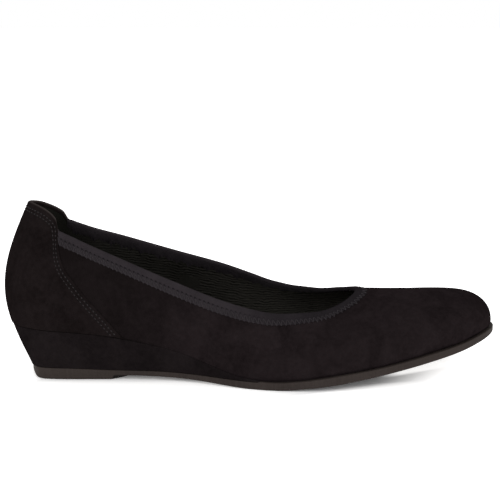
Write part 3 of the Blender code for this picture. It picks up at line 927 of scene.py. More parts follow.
def elastic(name):
    """Knitted stretch tape with the needle holes of its zigzag seam; painted shade darkens it inside the
    collar, towards the throat, along the needle row, in its holes and in its pleats, and painted light makes
    its inner leg paler at the throat.
    """
    material, tree, shader, place = new_material(name, specular=0.0)
    along, across = mark_of(tree, "along"), mark_of(tree, "across")
    x = split(tree, place)["X"]
    rib = math_node(tree, "SINE", product(tree, along, 2 * math.pi / KNIT_RIB))
    course = math_node(tree, "SINE", product(tree, across, 2 * math.pi / KNIT_COURSE))
    knit = math_node(tree, "MULTIPLY_ADD", product(tree, rib, course), 0.25, 0.5)
    cloud = noise(tree, place, 120.0, 3.0, 0.6)
    share = math_node(tree, "MULTIPLY_ADD", cloud, 0.6, product(tree, knit, 0.4))
    yarn = blend(tree, remap(tree, share, 0.3, 0.7), YARN_DARK, YARN_LIGHT)
    step = math_node(tree, "FRACT", product(tree, along, 1 / NEEDLE_PITCH))
    beside = product(tree, math_node(tree, "SUBTRACT", step, 0.5), NEEDLE_PITCH)
    above = math_node(tree, "SUBTRACT", across, BINDING_OUTSIDE - NEEDLE_DEPTH)
    square = math_node(tree, "MULTIPLY_ADD", beside, beside, product(tree, above, above))
    hole = remap(tree, square, 0.1 * NEEDLE_RADIUS**2, NEEDLE_RADIUS**2, 1.0, 0.0)
    # Painted shade: darker inside the collar, towards the throat, along the groove of the needle row and in
    # the needle holes
    shade = greatest(
        tree,
        remap(tree, across, 8.2, 12.4, 0.0, 0.37),
        remap(tree, x, -0.03, 0.045, 0.0, 0.48),
        remap(tree, math_node(tree, "ABSOLUTE", above), 0.15, 0.7, 0.12, 0.0),
        product(tree, hole, remap(tree, x, -0.04, 0.03, 0.8, 0.25)),
    )
    colour = blend(tree, shade, yarn, TAPE_PAINTED_SHADE)
    length = put(tree, "ShaderNodeCombineXYZ", X=along).outputs["Vector"]
    # Painted shade in the pleats along the inner leg's lower edge
    pleat = remap(tree, noise(tree, length, 0.62, 1.0), 0.46, 0.6)
    colour = blend(tree, product(tree, pleat, remap(tree, across, 12.4, 16.0, 0.0, 0.8)), colour, PLEAT_PAINTED_SHADE)
    # Painted light: the inner leg is paler at the throat, where it faces away from the light
    leg = product(tree, remap(tree, across, 8.6, 10.4), remap(tree, x, -0.01, 0.03, 0.0, 0.75))
    colour = blend(tree, leg, colour, THROAT_LEG_PAINTED_LIGHT)
    height = math_node(tree, "SUBTRACT", knit, product(tree, hole, 1.5))
    dress(tree, shader, colour, remap(tree, cloud, 0.3, 0.7, 0.75, 0.92), height, 0.00018, 0.8)
    return material


# Upper


UPPER_SKIN = 1.1
FOOT_TUCK_RUN = 2.2
FOOT_DROP = 0.25
RIM_DROP = 1.0
DENT_THROUGH = 12.0
WALL_STEPS = 360
WALL_ROWS = 60

# Soft dents in the upper, where the suede gives between its stiff heel and toe
SOFT_DENTS = table(
    "place  height  along  up   depth",
    (5.1, 0.55, 16.0, 9.0, 0.5),
    (6.4, 0.40, 14.0, 8.0, 0.35),
    (8.9, 0.62, 12.0, 8.0, 0.3),
    (18.9, 0.55, 16.0, 9.0, 0.5),
    (17.4, 0.42, 14.0, 8.0, 0.35),
    (15.2, 0.60, 12.0, 8.0, 0.3),
)


def counter_reach(height):
    """Ring place of the heel counter's front edge."""
    return smooth(COUNTER_EDGE["height"], COUNTER_EDGE["place"], height)


def from_back(ring):
    """Ring places counted from the centre back, on either side."""
    ring = np.asarray(ring, float) % RING_LENGTH
    return np.minimum(ring, RING_LENGTH - ring)


def rim_drop(ring):
    """How far below the collar the wall ends inside the counter's rolled rim."""
    return RIM_DROP * (1 - ease(1.6, 2.3, from_back(ring)))


def dent(surface):
    """Depth of the soft dents at points of the wall."""
    depth = np.zeros(surface.shape[:-1])
    for place, share, along, up, most in zip(*SOFT_DENTS.values()):
        centre = wall(place, share)
        normal, upward = wall_frame(place, share)
        sideways = np.cross(normal, upward)
        away = surface - centre
        spread = (away @ sideways / along) ** 2 + (away @ upward / up) ** 2
        depth += most * np.exp(-spread - (away @ normal / DENT_THROUGH) ** 2)
    return depth


def wall_grid(foot_rows):
    """Ring places, heights and points of a grid up the whole wall, which ends inside the collar's rim."""
    ring = np.linspace(0, RING_LENGTH, WALL_STEPS + 1)[:-1]
    top = height_below_collar(ring, rim_drop(ring))
    shares = np.concatenate([foot_rows, np.linspace(foot_rows[-1], 1, WALL_ROWS)[1:]])
    heights = shares[None, :] * top[:, None]
    rings = np.broadcast_to(ring[:, None], heights.shape)
    return rings, heights, wall(rings, heights)


def foot_tuck(x):
    """How far the wall turns in at its foot: a little on the wedge, less at the waist, most at the welt."""
    return 0.18 - 0.13 * ease(50, 85, x) + 0.62 * ease(112, 140, x)


def make_upper(outside, inside):
    """Suede skin of the quarters and vamp, turned in at its foot and softly dented."""
    rings, heights, surface = wall_grid((0.0, 0.006, 0.014, 0.024, 0.036, 0.05))
    rise = around(PROFILE["place"], PROFILE["rise"], PROFILE["rise"], rings)
    from_foot = np.clip(heights * 3 * rise / FOOT_TUCK_RUN, 0, 1)
    out = -foot_tuck(surface[..., 0]) * (1 - from_foot) ** 2 - dent(surface)
    over = wall_offset(rings, heights, out)
    under = wall_offset(rings, heights, np.minimum(out, 0) - UPPER_SKIN)
    for face in (over, under):
        face[:, 0, 2] -= FOOT_DROP
    return shell("upper_suede", over, under, [outside, inside], closed=True)


LINING_OUT = 1.5
RIB_PITCH = 1.5
RIB_TILT = 0.6


def make_lining(material):
    """Ribbed textile inside the quarters and vamp, smooth at the heel, its ribs tilted with the foot."""
    rings, heights, surface = wall_grid((0.0, 0.01))
    forward = from_back(rings)
    # The marks deep and toe say where the lining takes its painted light
    marks = {
        "rows": (surface[..., 2] - RIB_TILT * seat_height(surface[..., 0])) / RIB_PITCH,
        "ribbed": 0.3 * ease(2.2, 3.0, forward) + 0.7 * ease(2.7, 4.4, forward),
        "deep": ease(5.4, 8.6, forward),
        "toe": ease(7.5, 9.4, forward),
    }
    over = wall_offset(rings, heights, np.full(rings.shape, -LINING_OUT))
    under = wall_offset(rings, heights, np.full(rings.shape, -UPPER_SKIN))
    return shell("lining", over, under, [material], closed=True, marks=marks)


# Heel counter and its stitches

COUNTER_CLEAR = 0.02
COUNTER_FOOT = 0.003
COUNTER_INSIDE = 0.6
COUNTER_SPAN = 55.0
COUNTER_EDGE_ROUND = 0.8
COUNTER_EDGE_THICK = 0.65
COUNTER_BODY_THICK = 1.3
COUNTER_SKIVE = 12.0
RIM_INSIDE = -1.6
STITCH_ROWS = (1.7, 3.4)
STITCH_TOP_DROP = 1.0
STITCH_PITCH = 2.2
STITCH_LENGTH = 1.2
STITCH_WIDTH = 0.62
STITCH_HEIGHT = 0.44
STITCH_RISE = 0.06
HOLE_SIZE = 0.7
SEAM_MIDDLE = 2.55
SEAM_DIP = 0.14
SEAM_SPREAD = 1.7
WALL_RUN = 60.0
FIRST_STITCH = 1.2
FOLD_TURNS = np.radians(np.linspace(0, 180, 13))


def fold(middle, radius, normal, upward):
    """Rows of points over the bend of a folded edge."""
    return [middle + radius * (math.cos(turn) * normal + math.sin(turn) * upward) for turn in FOLD_TURNS]


def rounded(distance, radius, least=0.3):
    """Share of a sheet's thickness at a distance from its rounded edge."""
    t = 1 - np.clip(distance / radius, 0, 1)
    return least + (1 - least) * np.sqrt(1 - t**2)


def counter_thickness(from_edge):
    """Thickness of the counter, skived thin towards its front edge."""
    return COUNTER_EDGE_THICK + (COUNTER_BODY_THICK - COUNTER_EDGE_THICK) * ease(0, COUNTER_SKIVE, from_edge)


def seam_dip(distance):
    """Depth of the groove that the two stitch rows pull, at a distance from the edge they follow."""
    return SEAM_DIP * np.exp(-(((distance - SEAM_MIDDLE) / SEAM_SPREAD) ** 2))


def make_heel_counter(material):
    """Back panel whose top edge is rolled over the collar to the inside."""
    edge = np.array([0.0, 0.1, 0.25, 0.45, 0.7, 1.0, 1.4, 2.0])
    side = np.concatenate([1 - edge / COUNTER_SPAN, np.linspace(1 - 2.6 / COUNTER_SPAN, 0, 80)])
    q = np.concatenate([side, -side[-2::-1]])
    from_edge = (1 - np.abs(q)) * COUNTER_SPAN
    front = rounded(from_edge, COUNTER_EDGE_ROUND)
    full = counter_thickness(from_edge)
    crest_ring = q * counter_reach(1.0)
    crest_height = height_below_collar(crest_ring, rim_drop(crest_ring))
    normal, upward = wall_frame(crest_ring, crest_height)
    rise = np.concatenate([[0.0, 0.004, 0.01, 0.018], np.linspace(0.03, 1, 56)])
    inside = np.linspace(0.0, COUNTER_INSIDE, 5)[1:]

    def skin(thick):
        rows = []
        for share in rise[:-1]:
            height = COUNTER_FOOT + (crest_height - COUNTER_FOOT) * share
            from_top = (crest_height - height) * WALL_RUN + 1.0
            dip = np.maximum(seam_dip(from_edge), seam_dip(from_top))
            low = rounded(share * WALL_RUN, COUNTER_EDGE_ROUND)
            out = COUNTER_CLEAR + thick * (full - dip) * front * low
            rows.append(wall_offset(q * counter_reach(height), height, out))
        outer = COUNTER_CLEAR + thick * full * front
        inner = RIM_INSIDE * (0.75 + 0.25 * thick * front)
        middle = wall_offset(crest_ring, crest_height, (outer + inner) / 2)
        rows += fold(middle, ((outer - inner) / 2)[:, None], normal, upward)
        for depth in inside:
            height = height_below_collar(crest_ring, rim_drop(crest_ring) + depth)
            rows.append(wall_offset(crest_ring, height, inner))
        return np.stack(rows, axis=1)

    over = skin(1.0)
    # The mark rim says where the painted highlight lies, over the top of the fold
    rolled = np.zeros(over.shape[1])
    bend = len(rise) - 1 + np.arange(len(FOLD_TURNS))
    degrees = np.degrees(FOLD_TURNS)
    rolled[bend] = ease(20, 60, degrees) * (1 - ease(110, 150, degrees))
    marks = {"rim": np.tile(rolled, (len(q), 1))}
    return shell("heel_counter_suede", over, skin(0.0), [material], marks=marks)


def beside_edge(height, inset):
    """Ring places and heights that lie a distance behind the counter's front edge, square to it."""
    ring = counter_reach(height)
    along_ring = (wall(ring + STEP, height) - wall(ring - STEP, height)) / (2 * STEP)
    along_height = (wall(ring, height + STEP) - wall(ring, height - STEP)) / (2 * STEP)
    lean = (counter_reach(height + STEP) - counter_reach(height - STEP)) / (2 * STEP)
    edge = unit(along_height + lean[:, None] * along_ring)
    back = unit(np.cross(np.cross(along_ring, along_height), edge))
    back *= -np.sign(np.sum(back * along_ring, axis=1, keepdims=True))
    pairs = ((along_ring, along_ring), (along_ring, along_height), (along_height, along_height))
    a, b, c = (np.sum(u * v, axis=1) for u, v in pairs)
    p, q = (inset * np.sum(back * v, axis=1) for v in (along_ring, along_height))
    area = a * c - b * b
    return np.column_stack([ring + (p * c - q * b) / area, height + (q * a - p * b) / area])


def seam_line(inset):
    """Ring places and heights of a stitch row at a distance from the counter's front and top edges."""
    up = np.linspace(COUNTER_FOOT + 0.06, 0.96, 260)
    front = beside_edge(up, inset)
    across = np.linspace(front[-1, 0] - 0.1, 0, 140)
    drop = inset - 1 + STITCH_TOP_DROP + rim_drop(across)
    top = np.column_stack([across, height_below_collar(across, drop)])
    front = front[front[:, 1] < top[0, 1] - 0.015]
    half = np.concatenate([front, top])
    for _ in range(40):
        half[1:-1] = 0.25 * half[:-2] + 0.5 * half[1:-1] + 0.25 * half[2:]
    return np.concatenate([half, half[-2::-1] * (-1, 1)])


def evenly(path, pitch, start):
    """Positions, as share numbers into a path's points, that lie a pitch apart along it."""
    run = lengths_along(path)
    return np.interp(np.arange(start, run[-1], pitch), run, np.arange(len(path)))


def seam_spots(start):
    """Places, lays and lifts of the points a stitch apart along both rows of the counter's seam."""
    places, lays, lifts = [], [], []
    for row, inset in enumerate(STITCH_ROWS):
        line = seam_line(inset)
        from_edge = (1 - np.abs(line[:, 0]) / counter_reach(line[:, 1])) * COUNTER_SPAN
        path = wall_offset(line[:, 0], line[:, 1], counter_thickness(from_edge) - SEAM_DIP + STITCH_RISE)
        at = evenly(path, STITCH_PITCH, start + row * STITCH_PITCH / 2)
        numbers = np.arange(len(path))
        spots, ahead, behind = (
            np.column_stack([np.interp(at + step, numbers, path[:, axis]) for axis in range(3)])
            for step in (0.0, 0.5, -0.5)
        )
        ring, height = (np.interp(at, numbers, line[:, k]) for k in (0, 1))
        places.append(spots)
        lays.append(unit(ahead - behind))
        lifts.append(wall_frame(ring, height)[0])
    return [np.concatenate(part) for part in (places, lays, lifts)]


def make_counter_stitches(material, tree):
    """Both rows of stitches along the counter's edges."""
    mesh = stitch_points("counter_stitches", *seam_spots(FIRST_STITCH))
    return grown(
        "counter_stitches", mesh, tree,
        Length=STITCH_LENGTH * MM, Width=STITCH_WIDTH * MM, Height=STITCH_HEIGHT * MM, Material=material,
    )


def make_needle_holes(material, tree):
    """Dark beads between the stitches: painted shade of the needle holes."""
    mesh = stitch_points("counter_needle_holes", *seam_spots(FIRST_STITCH + STITCH_PITCH / 2))
    return grown(
        "counter_needle_holes", mesh, tree,
        Length=HOLE_SIZE * MM, Width=HOLE_SIZE * MM, Height=0.5 * HOLE_SIZE * MM, Material=material,
    )


# Collar binding and its zigzag thread

# Depths below the collar of the rows down the tape's outer leg, closest at its edge and at the needle row
TAPE_DEPTHS = (
    5.1, 5.02, 4.85, 4.5, 4.1, 3.7, 3.3, 2.95, 2.7,
    2.5, 2.3, 2.1, 1.9, 1.7, 1.4, 1.0, 0.6, 0.2,
)
TAPE_CLEAR = 0.03
TAPE_STEPS = 1000
TAPE_START = -0.10
TAPE_THICK = 0.5
TAPE_EDGE_THICK = 0.4
TAPE_INSIDE = -1.75
TAPE_LIFT = 1.0
TAPE_WIDER = 3.5
THREAD_RADIUS = 0.19
TOOTH = 0.3
TOOTH_UNEVEN = 0.9
THROAT_NARROWER = 0.18
NEEDLE_DRAW = 0.1
PUCKER = 0.04
PUCKER_THROAT = 0.08
SERRATION = 0.12
THREAD_ON_TAPE = 0.09
THREAD_ON_SUEDE = 0.12
THREAD_SINK = 0.25


def tape_ring(share, depth):
    """Ring place along the tape at a depth below the collar, clear of the counter's front edge."""
    corner = height_below_collar(COUNTER_EDGE["place"][-1:], depth)
    start = counter_reach(corner) + TAPE_START
    return start + share * (RING_LENGTH - 2 * start)


def tape_run(share):
    """Length along the tape's crest."""
    return lengths_along(collar_edge(tape_ring(share, 0.0)))


def tape_thickness(depth, run, throat):
    """Thickness of the tape's outer leg: full at the fold, less along the needle row, thin at its edge."""
    body = TAPE_THICK - (TAPE_THICK - TAPE_EDGE_THICK) * ease(1.6, BINDING_OUTSIDE, depth)
    needle = NEEDLE_DRAW * np.exp(-(((depth - NEEDLE_DEPTH) / 0.5) ** 2))
    pucker = np.cos(2 * np.pi * run / NEEDLE_PITCH) * ease(1.8, 3.2, depth)
    return body - needle + (PUCKER + PUCKER_THROAT * throat) * pucker


def throat_share(ring):
    """How far a place lies into the throat's bend, where the tape is gathered most."""
    return ease(6.2, 8.5, from_back(ring))


def gathers(run):
    """Uneven soft gathers of the elastic inside the collar."""
    short = np.sin(2 * np.pi * run / 5.3 + 0.7 * np.sin(run / 17.0))
    return 0.5 * short + 0.5 * np.sin(2 * np.pi * run / 8.9 + 1.3)


def fine_gathers(run):
    """Short upright gathers along the tape's inner edge."""
    beat = 0.6 + 0.4 * np.sin(run / 6.1 + 0.4)
    return beat * np.sin(2 * np.pi * run / 1.9 + 1.1 * np.sin(run / 4.3))


def make_collar_tape(material):
    """Tape folded over the collar edge, its ends tucked under the counter."""
    share = np.linspace(0, 1, TAPE_STEPS)
    run = tape_run(share)
    crest_ring = tape_ring(share, 0.0)
    collar = np.ones(TAPE_STEPS)
    normal, upward = wall_frame(crest_ring, collar)
    throat = throat_share(crest_ring)
    from_end = np.minimum(run, run[-1] - run)
    lift = (TAPE_LIFT * (0.1 + 0.9 * ease(0.5, 4.5, from_end)))[:, None]
    inside = np.concatenate([np.linspace(0.0, 0.9, 13), [0.96, 1.0]])
    reach = BINDING_INSIDE + TAPE_WIDER * (1 - ease(4.2, 9.4, from_back(crest_ring)))
    soft, frill = gathers(run), fine_gathers(run)
    across = []

    def skin(thick):
        rows = []
        across.clear()
        for depth in TAPE_DEPTHS:
            ring = tape_ring(share, depth)
            low = rounded(BINDING_OUTSIDE - depth, 0.3, 0.4)
            out = TAPE_CLEAR + thick * tape_thickness(depth, run, throat) * low
            serration = SERRATION * np.cos(2 * np.pi * run / NEEDLE_PITCH) * ease(3.6, 5.1, depth)
            down = depth * (1 - THROAT_NARROWER * throat * ease(1.0, 5.1, depth)) + serration
            rows.append(wall_offset(ring, height_below_collar(ring, down), out))
            across.append(BINDING_OUTSIDE - depth)
        outer, inner = TAPE_CLEAR + thick * TAPE_THICK, TAPE_INSIDE + (1 - thick) * TAPE_THICK
        middle = wall_offset(crest_ring, collar, np.full(TAPE_STEPS, (outer + inner) / 2)) + lift * upward
        radius = (outer - inner) / 2
        rows += fold(middle, radius, normal, upward)
        across.extend(BINDING_OUTSIDE + TAPE_LIFT + radius * FOLD_TURNS)
        for part in inside:
            depth = reach * part
            low = 1 - 0.75 * ease(0.3, 1.0, part)
            swell = 0.12 * soft * ease(0.5, 2.5, depth) + 0.1 * frill * ease(2.0, 4.5, depth)
            edge = 0.14 * soft * ease(1.5, 3.0, depth) + 0.12 * frill * ease(3.0, 5.0, depth)
            out = TAPE_INSIDE + (1 - thick * low) * TAPE_THICK - thick * swell
            rows.append(wall_offset(crest_ring, height_below_collar(crest_ring, depth + edge), out))
            across.append(BINDING_OUTSIDE + 2 * TAPE_LIFT + math.pi + (BINDING_INSIDE + TAPE_WIDER) * part)
        return np.stack(rows, axis=1)

    under, over = skin(0.0), skin(1.0)
    marks = {
        "along": np.broadcast_to(run[:, None], over.shape[:2]),
        "across": np.broadcast_to(np.array(across)[None, :], over.shape[:2]),
    }
    return shell("collar_tape", over, under, [material], marks=marks)


def make_zigzag(material, tree):
    """Thread that runs to and fro between the needle holes and the suede below the tape's edge."""
    share = np.linspace(0, 1, TAPE_STEPS)
    run = tape_run(share)
    holes = np.arange(0.5 * NEEDLE_PITCH, run[-1] - 0.3, NEEDLE_PITCH)
    legs = np.linspace(0, 1, 6)[:-1]
    forth = np.concatenate([legs, 1 - legs])
    lengths = np.concatenate([hole + NEEDLE_PITCH * np.linspace(0, 1, 11)[:-1] for hole in holes[:-1]])
    swing = np.tile(forth, len(holes) - 1)
    uneven = TOOTH_UNEVEN * np.random.default_rng(7).random(len(holes) - 1)
    at = np.interp(lengths, run, share)
    crest_ring = tape_ring(at, 0.0)
    throat = throat_share(crest_ring)
    edge = BINDING_OUTSIDE * (1 - THROAT_NARROWER * throat)
    ragged = throat * (1 - ease(9.0, 10.5, from_back(crest_ring)))
    tooth = TOOTH + np.repeat(uneven, len(forth)) * ragged
    depth = NEEDLE_DEPTH + (edge + tooth - NEEDLE_DEPTH) * swing
    rings = np.array([tape_ring(np.array([a]), d)[0] for a, d in zip(at, depth)])
    heights = height_below_collar(rings, depth)
    thick = tape_thickness(np.minimum(depth, BINDING_OUTSIDE), lengths, throat)
    on_tape = TAPE_CLEAR + thick + THREAD_ON_TAPE
    off_tape = ease(-0.1, TOOTH, depth - edge)
    in_hole = 1 - ease(0.0, 0.22, swing)
    out = on_tape * (1 - off_tape) + THREAD_ON_SUEDE * off_tape - THREAD_SINK * in_hole
    mesh = thread_path("tape_zigzag", wall_offset(rings, heights, out))
    return grown("tape_zigzag", mesh, tree, Radius=THREAD_RADIUS * MM, Material=material)


# Wedge, insole and outsole


WEDGE_EDGE_ROUND = 0.24
WEDGE_SEAM_HEEL = 0.05
WEDGE_SEAM_WAIST = -0.2
WEDGE_TIP = 0.12
WEDGE_HOLLOW = 0.12
WEDGE_BACK_SWELL = 0.8
WEDGE_FULL_HEIGHT = 18.0
INSOLE_EDGE_ROUND = 1.6
INSOLE_DISH = 0.5


def wedge_top(x):
    """Height of the wedge's top edge, drawn up over the upper's foot towards the waist."""
    seam = WEDGE_SEAM_HEEL + (WEDGE_SEAM_WAIST - WEDGE_SEAM_HEEL) * ease(70, 88, x)
    return seat_height(x) - seam


def make_wedge(material):
    """Suede-covered wedge, rounded along its top edge, thinning to a feather at the waist."""
    xs = np.linspace(80, 135, 800)
    deep = seat_height(xs) - GAP - (wedge_floor(xs) + GAP) > WEDGE_TIP
    front = place_at(xs[deep][-1], FOOT)
    places = side_places(300, last=front, extra=(front,))
    wall_rows = np.concatenate([np.linspace(0, 0.9, 12), [0.94, 0.97, 0.985, 0.995, 1.0]])
    tops, feet, outs = [], [], []
    for ring in (places, RING_LENGTH - places):
        outward = outward_of(FOOT, ring)[:, :2]
        edge = outline(FOOT, ring)
        tops.append(edge + wedge_lip(edge[:, :1]) * outward)
        feet.append(wedge_foot(ring))
        outs.append(outward)
    walls = []
    for top, foot, outward in zip(tops, feet, outs):
        high = wedge_top(top[:, 0])
        low = wedge_floor(foot[:, 0]) + GAP
        tall = np.maximum(high - low, 0.01)
        rows = []
        for share in wall_rows:
            from_top = (1 - share) * tall
            back = np.clip(1 - from_top / WEDGE_EDGE_ROUND, 0, 1)
            inset = np.minimum(WEDGE_EDGE_ROUND, tall) * (1 - np.sqrt(1 - back**2))
            swell = WEDGE_HOLLOW - WEDGE_BACK_SWELL * np.clip(-outward[:, 0], 0, 1) ** 2
            hollow = swell * np.sin(np.pi * share) * np.clip(tall / WEDGE_FULL_HEIGHT, 0, 1)
            plan = foot + (top - foot) * share - (inset + hollow)[:, None] * outward
            rows.append(np.column_stack([plan, low + tall * share]))
        walls.append(np.stack(rows, axis=1))
    shares = np.linspace(0, 1, 14)[1:-1]
    lid = paired(walls[0][:, -1, :2], walls[1][:, -1, :2], shares)
    lid = lifted(lid, wedge_top(lid[..., 0]))
    over = np.concatenate([walls[0], lid, walls[1][:, ::-1]], axis=1)
    count = over.shape[1]
    base = paired(walls[0][:, 0, :2], walls[1][:, 0, :2], np.linspace(0.001, 0.999, count))
    under = lifted(base, wedge_floor(base[..., 0]) + GAP)
    return shell("wedge_suede", over, under, [material], outer_walls=len(wall_rows))


def make_insole(material):
    """Smooth sock over the insole, a little dished along its middle."""
    places = side_places(240)
    edges = []
    for ring in (places, RING_LENGTH - places):
        edges.append((foot_edge(ring) - (WALL + 2 * GAP) * outward_of(FOOT, ring))[:, :2])
    rim = np.array([0.0, 0.006, 0.018, 0.04])
    shares = np.concatenate([rim, np.linspace(0.07, 0.93, 26), 1 - rim[::-1]])
    top_plan = paired(*edges, shares)
    width = np.linalg.norm(edges[1] - edges[0], axis=1)[:, None]
    from_edge = np.minimum(shares, 1 - shares)[None, :] * width
    dish = INSOLE_DISH * np.sin(np.pi * shares)[None, :] ** 2
    crown = INSOLE_THICK * rounded(from_edge, INSOLE_EDGE_ROUND, 0.45) - dish
    over = lifted(top_plan, seat_height(top_plan[..., 0]) + crown)
    under = lifted(top_plan, seat_height(top_plan[..., 0]))
    return shell("insole_sock", over, under, [material])


SOLE_EDGE_ROUND = 0.8
HEEL_EDGE_ROUND = 1.6
HEEL_SLANT_RISE = 3.0
TOE_EDGE_ROUND = 0.9
SOLE_TOP_ROUND = 0.4
TREAD_PITCH = 5.0
TREAD_DEPTH = 0.7
TREAD_GROOVE = 0.9
TREAD_MARGIN = 6.0
TREAD_FIRST_ROW = 18.125
HEEL_BOW = 8.0
HEEL_BOW_RUN = 7.5
HEEL_BOW_FADE = 18.0


def tread(x, from_side):
    """Depth of the cross grooves under the heel pad and the ball; x is where a row leaves the outer edge."""
    away = np.abs((x / TREAD_PITCH + 0.5) % 1 - 0.5) * TREAD_PITCH
    groove = 1 - ease(TREAD_GROOVE * 0.35, TREAD_GROOVE * 0.75, away)
    ball = ease(112, 118, x) * (1 - ease(214, 220, x))
    heel = ease(19, 21, x) * (1 - ease(51, 53, x))
    return TREAD_DEPTH * groove * np.maximum(ball, heel) * ease(TREAD_MARGIN - 1, TREAD_MARGIN, from_side)


def edge_round(forward):
    """Rounding of the outsole's lower edge, larger at the back and at the toe; forward is its outward x."""
    at_end = np.where(forward < 0, HEEL_EDGE_ROUND, TOE_EDGE_ROUND)
    return SOLE_EDGE_ROUND + (at_end - SOLE_EDGE_ROUND) * forward**6


def edge_rise(forward):
    """Height over which the lower edge draws in: most of the sole's thickness at the slanted back."""
    back = np.clip(-forward, 0, 1) ** 6
    return edge_round(forward) * (1 - back) + HEEL_SLANT_RISE * back


def make_outsole(material):
    """Moulded outsole with rounded edges, stepped heel pad and a fine cross-grooved tread."""
    step = np.array([HEEL_PAD_END, HEEL_PAD_END + HEEL_STEP_RUN])
    x_rows = np.concatenate([np.arange(TREAD_FIRST_ROW, 248.0, TREAD_PITCH / 8), step])
    ends = (side_places(260, last=2.0), side_places(260, first=10.8))
    places = np.sort(np.concatenate([place_at(x_rows, SOLE), *ends]))
    turns = np.radians(np.linspace(0, 90, 6))
    edges, feet, sides = [], [], []
    for ring in (places, RING_LENGTH - places):
        plan, outward = outline(SOLE, ring), outward_of(SOLE, ring)[:, :2]
        radius = edge_round(outward[:, 0])
        rise = edge_rise(outward[:, 0])
        back = np.clip(-outward[:, 0], 0, 1) ** 6
        rows = []
        top = sole_top(plan[:, 0])
        low = sole_under(plan[:, 0])
        for share in np.linspace(0, 1, 7):
            height = (top - SOLE_TOP_ROUND) * (1 - share) + (low + rise) * share
            rows.append(np.column_stack([plan, height]))
        for turn in turns[1:]:
            slant = 2 * turn / math.pi
            inset = radius * ((1 - math.cos(turn)) * (1 - back) + slant**1.3 * back)
            drop = rise * (math.sin(turn) * (1 - back) + slant**0.85 * back)
            rows.append(np.column_stack([plan - inset[:, None] * outward, low + rise - drop]))
        sides.append(np.stack(rows, axis=1))
        edges.append(plan)
        feet.append(plan - radius[:, None] * outward)
    shares = np.linspace(0, 1, 62)[1:-1]
    base = paired(*feet, shares)
    width = np.linalg.norm(feet[1] - feet[0], axis=1)[:, None]
    from_side = np.minimum(shares, 1 - shares)[None, :] * width
    row_x = edges[0][:, :1]
    bow = HEEL_BOW * np.sin(np.clip(from_side / HEEL_BOW_RUN, 0, 1) * math.pi / 2)
    bow *= ease(step[0] - HEEL_BOW_FADE, step[0], row_x)
    bow *= 1 - ease(step[1], step[1] + HEEL_BOW_FADE, row_x)
    base[..., 0] += bow
    base = lifted(base, sole_under(base[..., 0], bow) + tread(row_x, from_side))
    under = np.concatenate([sides[0], base, sides[1][:, ::-1]], axis=1)
    count = under.shape[1]
    lids = []
    for inset, drop in ((0.0, SOLE_TOP_ROUND), (0.12, 0.12), (SOLE_TOP_ROUND, 0.0)):
        pair = []
        for ring, plan in zip((places, RING_LENGTH - places), edges):
            moved = plan - inset * outward_of(SOLE, ring)[:, :2]
            pair.append(lifted(moved, sole_top(moved[:, 0]) - drop))
        lids.append(pair)
    middle = paired(lids[-1][0][:, :2], lids[-1][1][:, :2], np.linspace(0, 1, count - 4)[1:-1])
    middle = lifted(middle, sole_top(middle[..., 0]))
    left = [pair[0][:, None] for pair in lids]
    right = [pair[1][:, None] for pair in lids[::-1]]
    over = np.concatenate([*left, middle, *right], axis=1)
    return shell("outsole_rubber", over, under, [material], sharp=40, inner_walls=sides[0].shape[1])


# Stage: floor, light and camera

LIGHT_TARGET = (0.0, 0.0, 0.04)
CAMERA_TARGET = (125.6, 0.0, 61.25)
CAMERA_ELEVATION = math.radians(12.0)
CAMERA_DISTANCE = 0.62
CAMERA_LENS = 87.13
CAMERA_SENSOR = 36.0
FLOOR_HALF = 6.0
FLOOR_DROP = 1e-4
FLOOR_SHADOW = (0.03, 0.03, 0.03)
FLOOR_GLOW = (0.80, 0.79, 0.78)

# Line on the floor, along the shadow beside the toe: its slope, and its place across the floor
SHADOW_SLOPE = 0.43
SHADOW_START = -0.053

# Glow that thins the shadow as in the photo: what it goes by, where it starts and ends, and its share there
GLOW = {
    "near": ("beside", -0.011, -0.003, 0.55, 0.0),
    "past": ("beside", -0.001, 0.007, 0.0, 1.0),
    "past_along": ("x", 0.062, 0.078, 0.0, 1.0),
    "past_across": ("y", 0.004, 0.025, 1.0, 0.0),
    "toe": ("x", 0.059, 0.110, 0.0, 1.0),
    "heel": ("x", -0.010, 0.035, 0.46, 0.0),
    "heel_across": ("y", -0.031, -0.023, 1.0, 0.3),
    "back": ("x", -0.119, -0.100, 1.0, 0.0),
    "behind": ("y", 0.05, 0.14, 0.0, 1.0),
}


def make_floor():
    """Plain pale floor whose glow keeps the shadow as faint as the photo's."""
    material, tree, shader, place = new_material("pale_floor", specular=0.0)
    cloud = noise(tree, place, 2.0)
    pale = blend(tree, cloud, (0.90, 0.90, 0.90), (0.92, 0.92, 0.92))
    tree.links.new(pale, shader.inputs["Base Color"])
    shader.inputs["Roughness"].default_value = 0.9
    shader.inputs["Emission Strength"].default_value = 1.0
    axes = split(tree, place)
    line = math_node(tree, "MULTIPLY_ADD", axes["X"], SHADOW_SLOPE, SHADOW_START)
    ways = {"x": axes["X"], "y": axes["Y"], "beside": math_node(tree, "SUBTRACT", axes["Y"], line)}
    lit = {part: remap(tree, ways[way], *ends) for part, (way, *ends) in GLOW.items()}
    past = product(tree, lit["past"], lit["past_along"], lit["past_across"])
    heel = product(tree, lit["heel"], lit["heel_across"])
    share = greatest(tree, lit["toe"], lit["near"], past, heel, lit["back"], lit["behind"])
    tree.links.new(blend(tree, share, FLOOR_SHADOW, FLOOR_GLOW), shader.inputs["Emission Color"])
    mesh = bpy.data.meshes.new("floor")
    corners = [(FLOOR_HALF * a, FLOOR_HALF * b, -FLOOR_DROP) for a, b in ((-1, -1), (1, -1), (1, 1), (-1, 1))]
    mesh.from_pydata(corners, [], [(0, 1, 2, 3)])
    mesh.materials.append(material)
    return linked("floor", mesh)


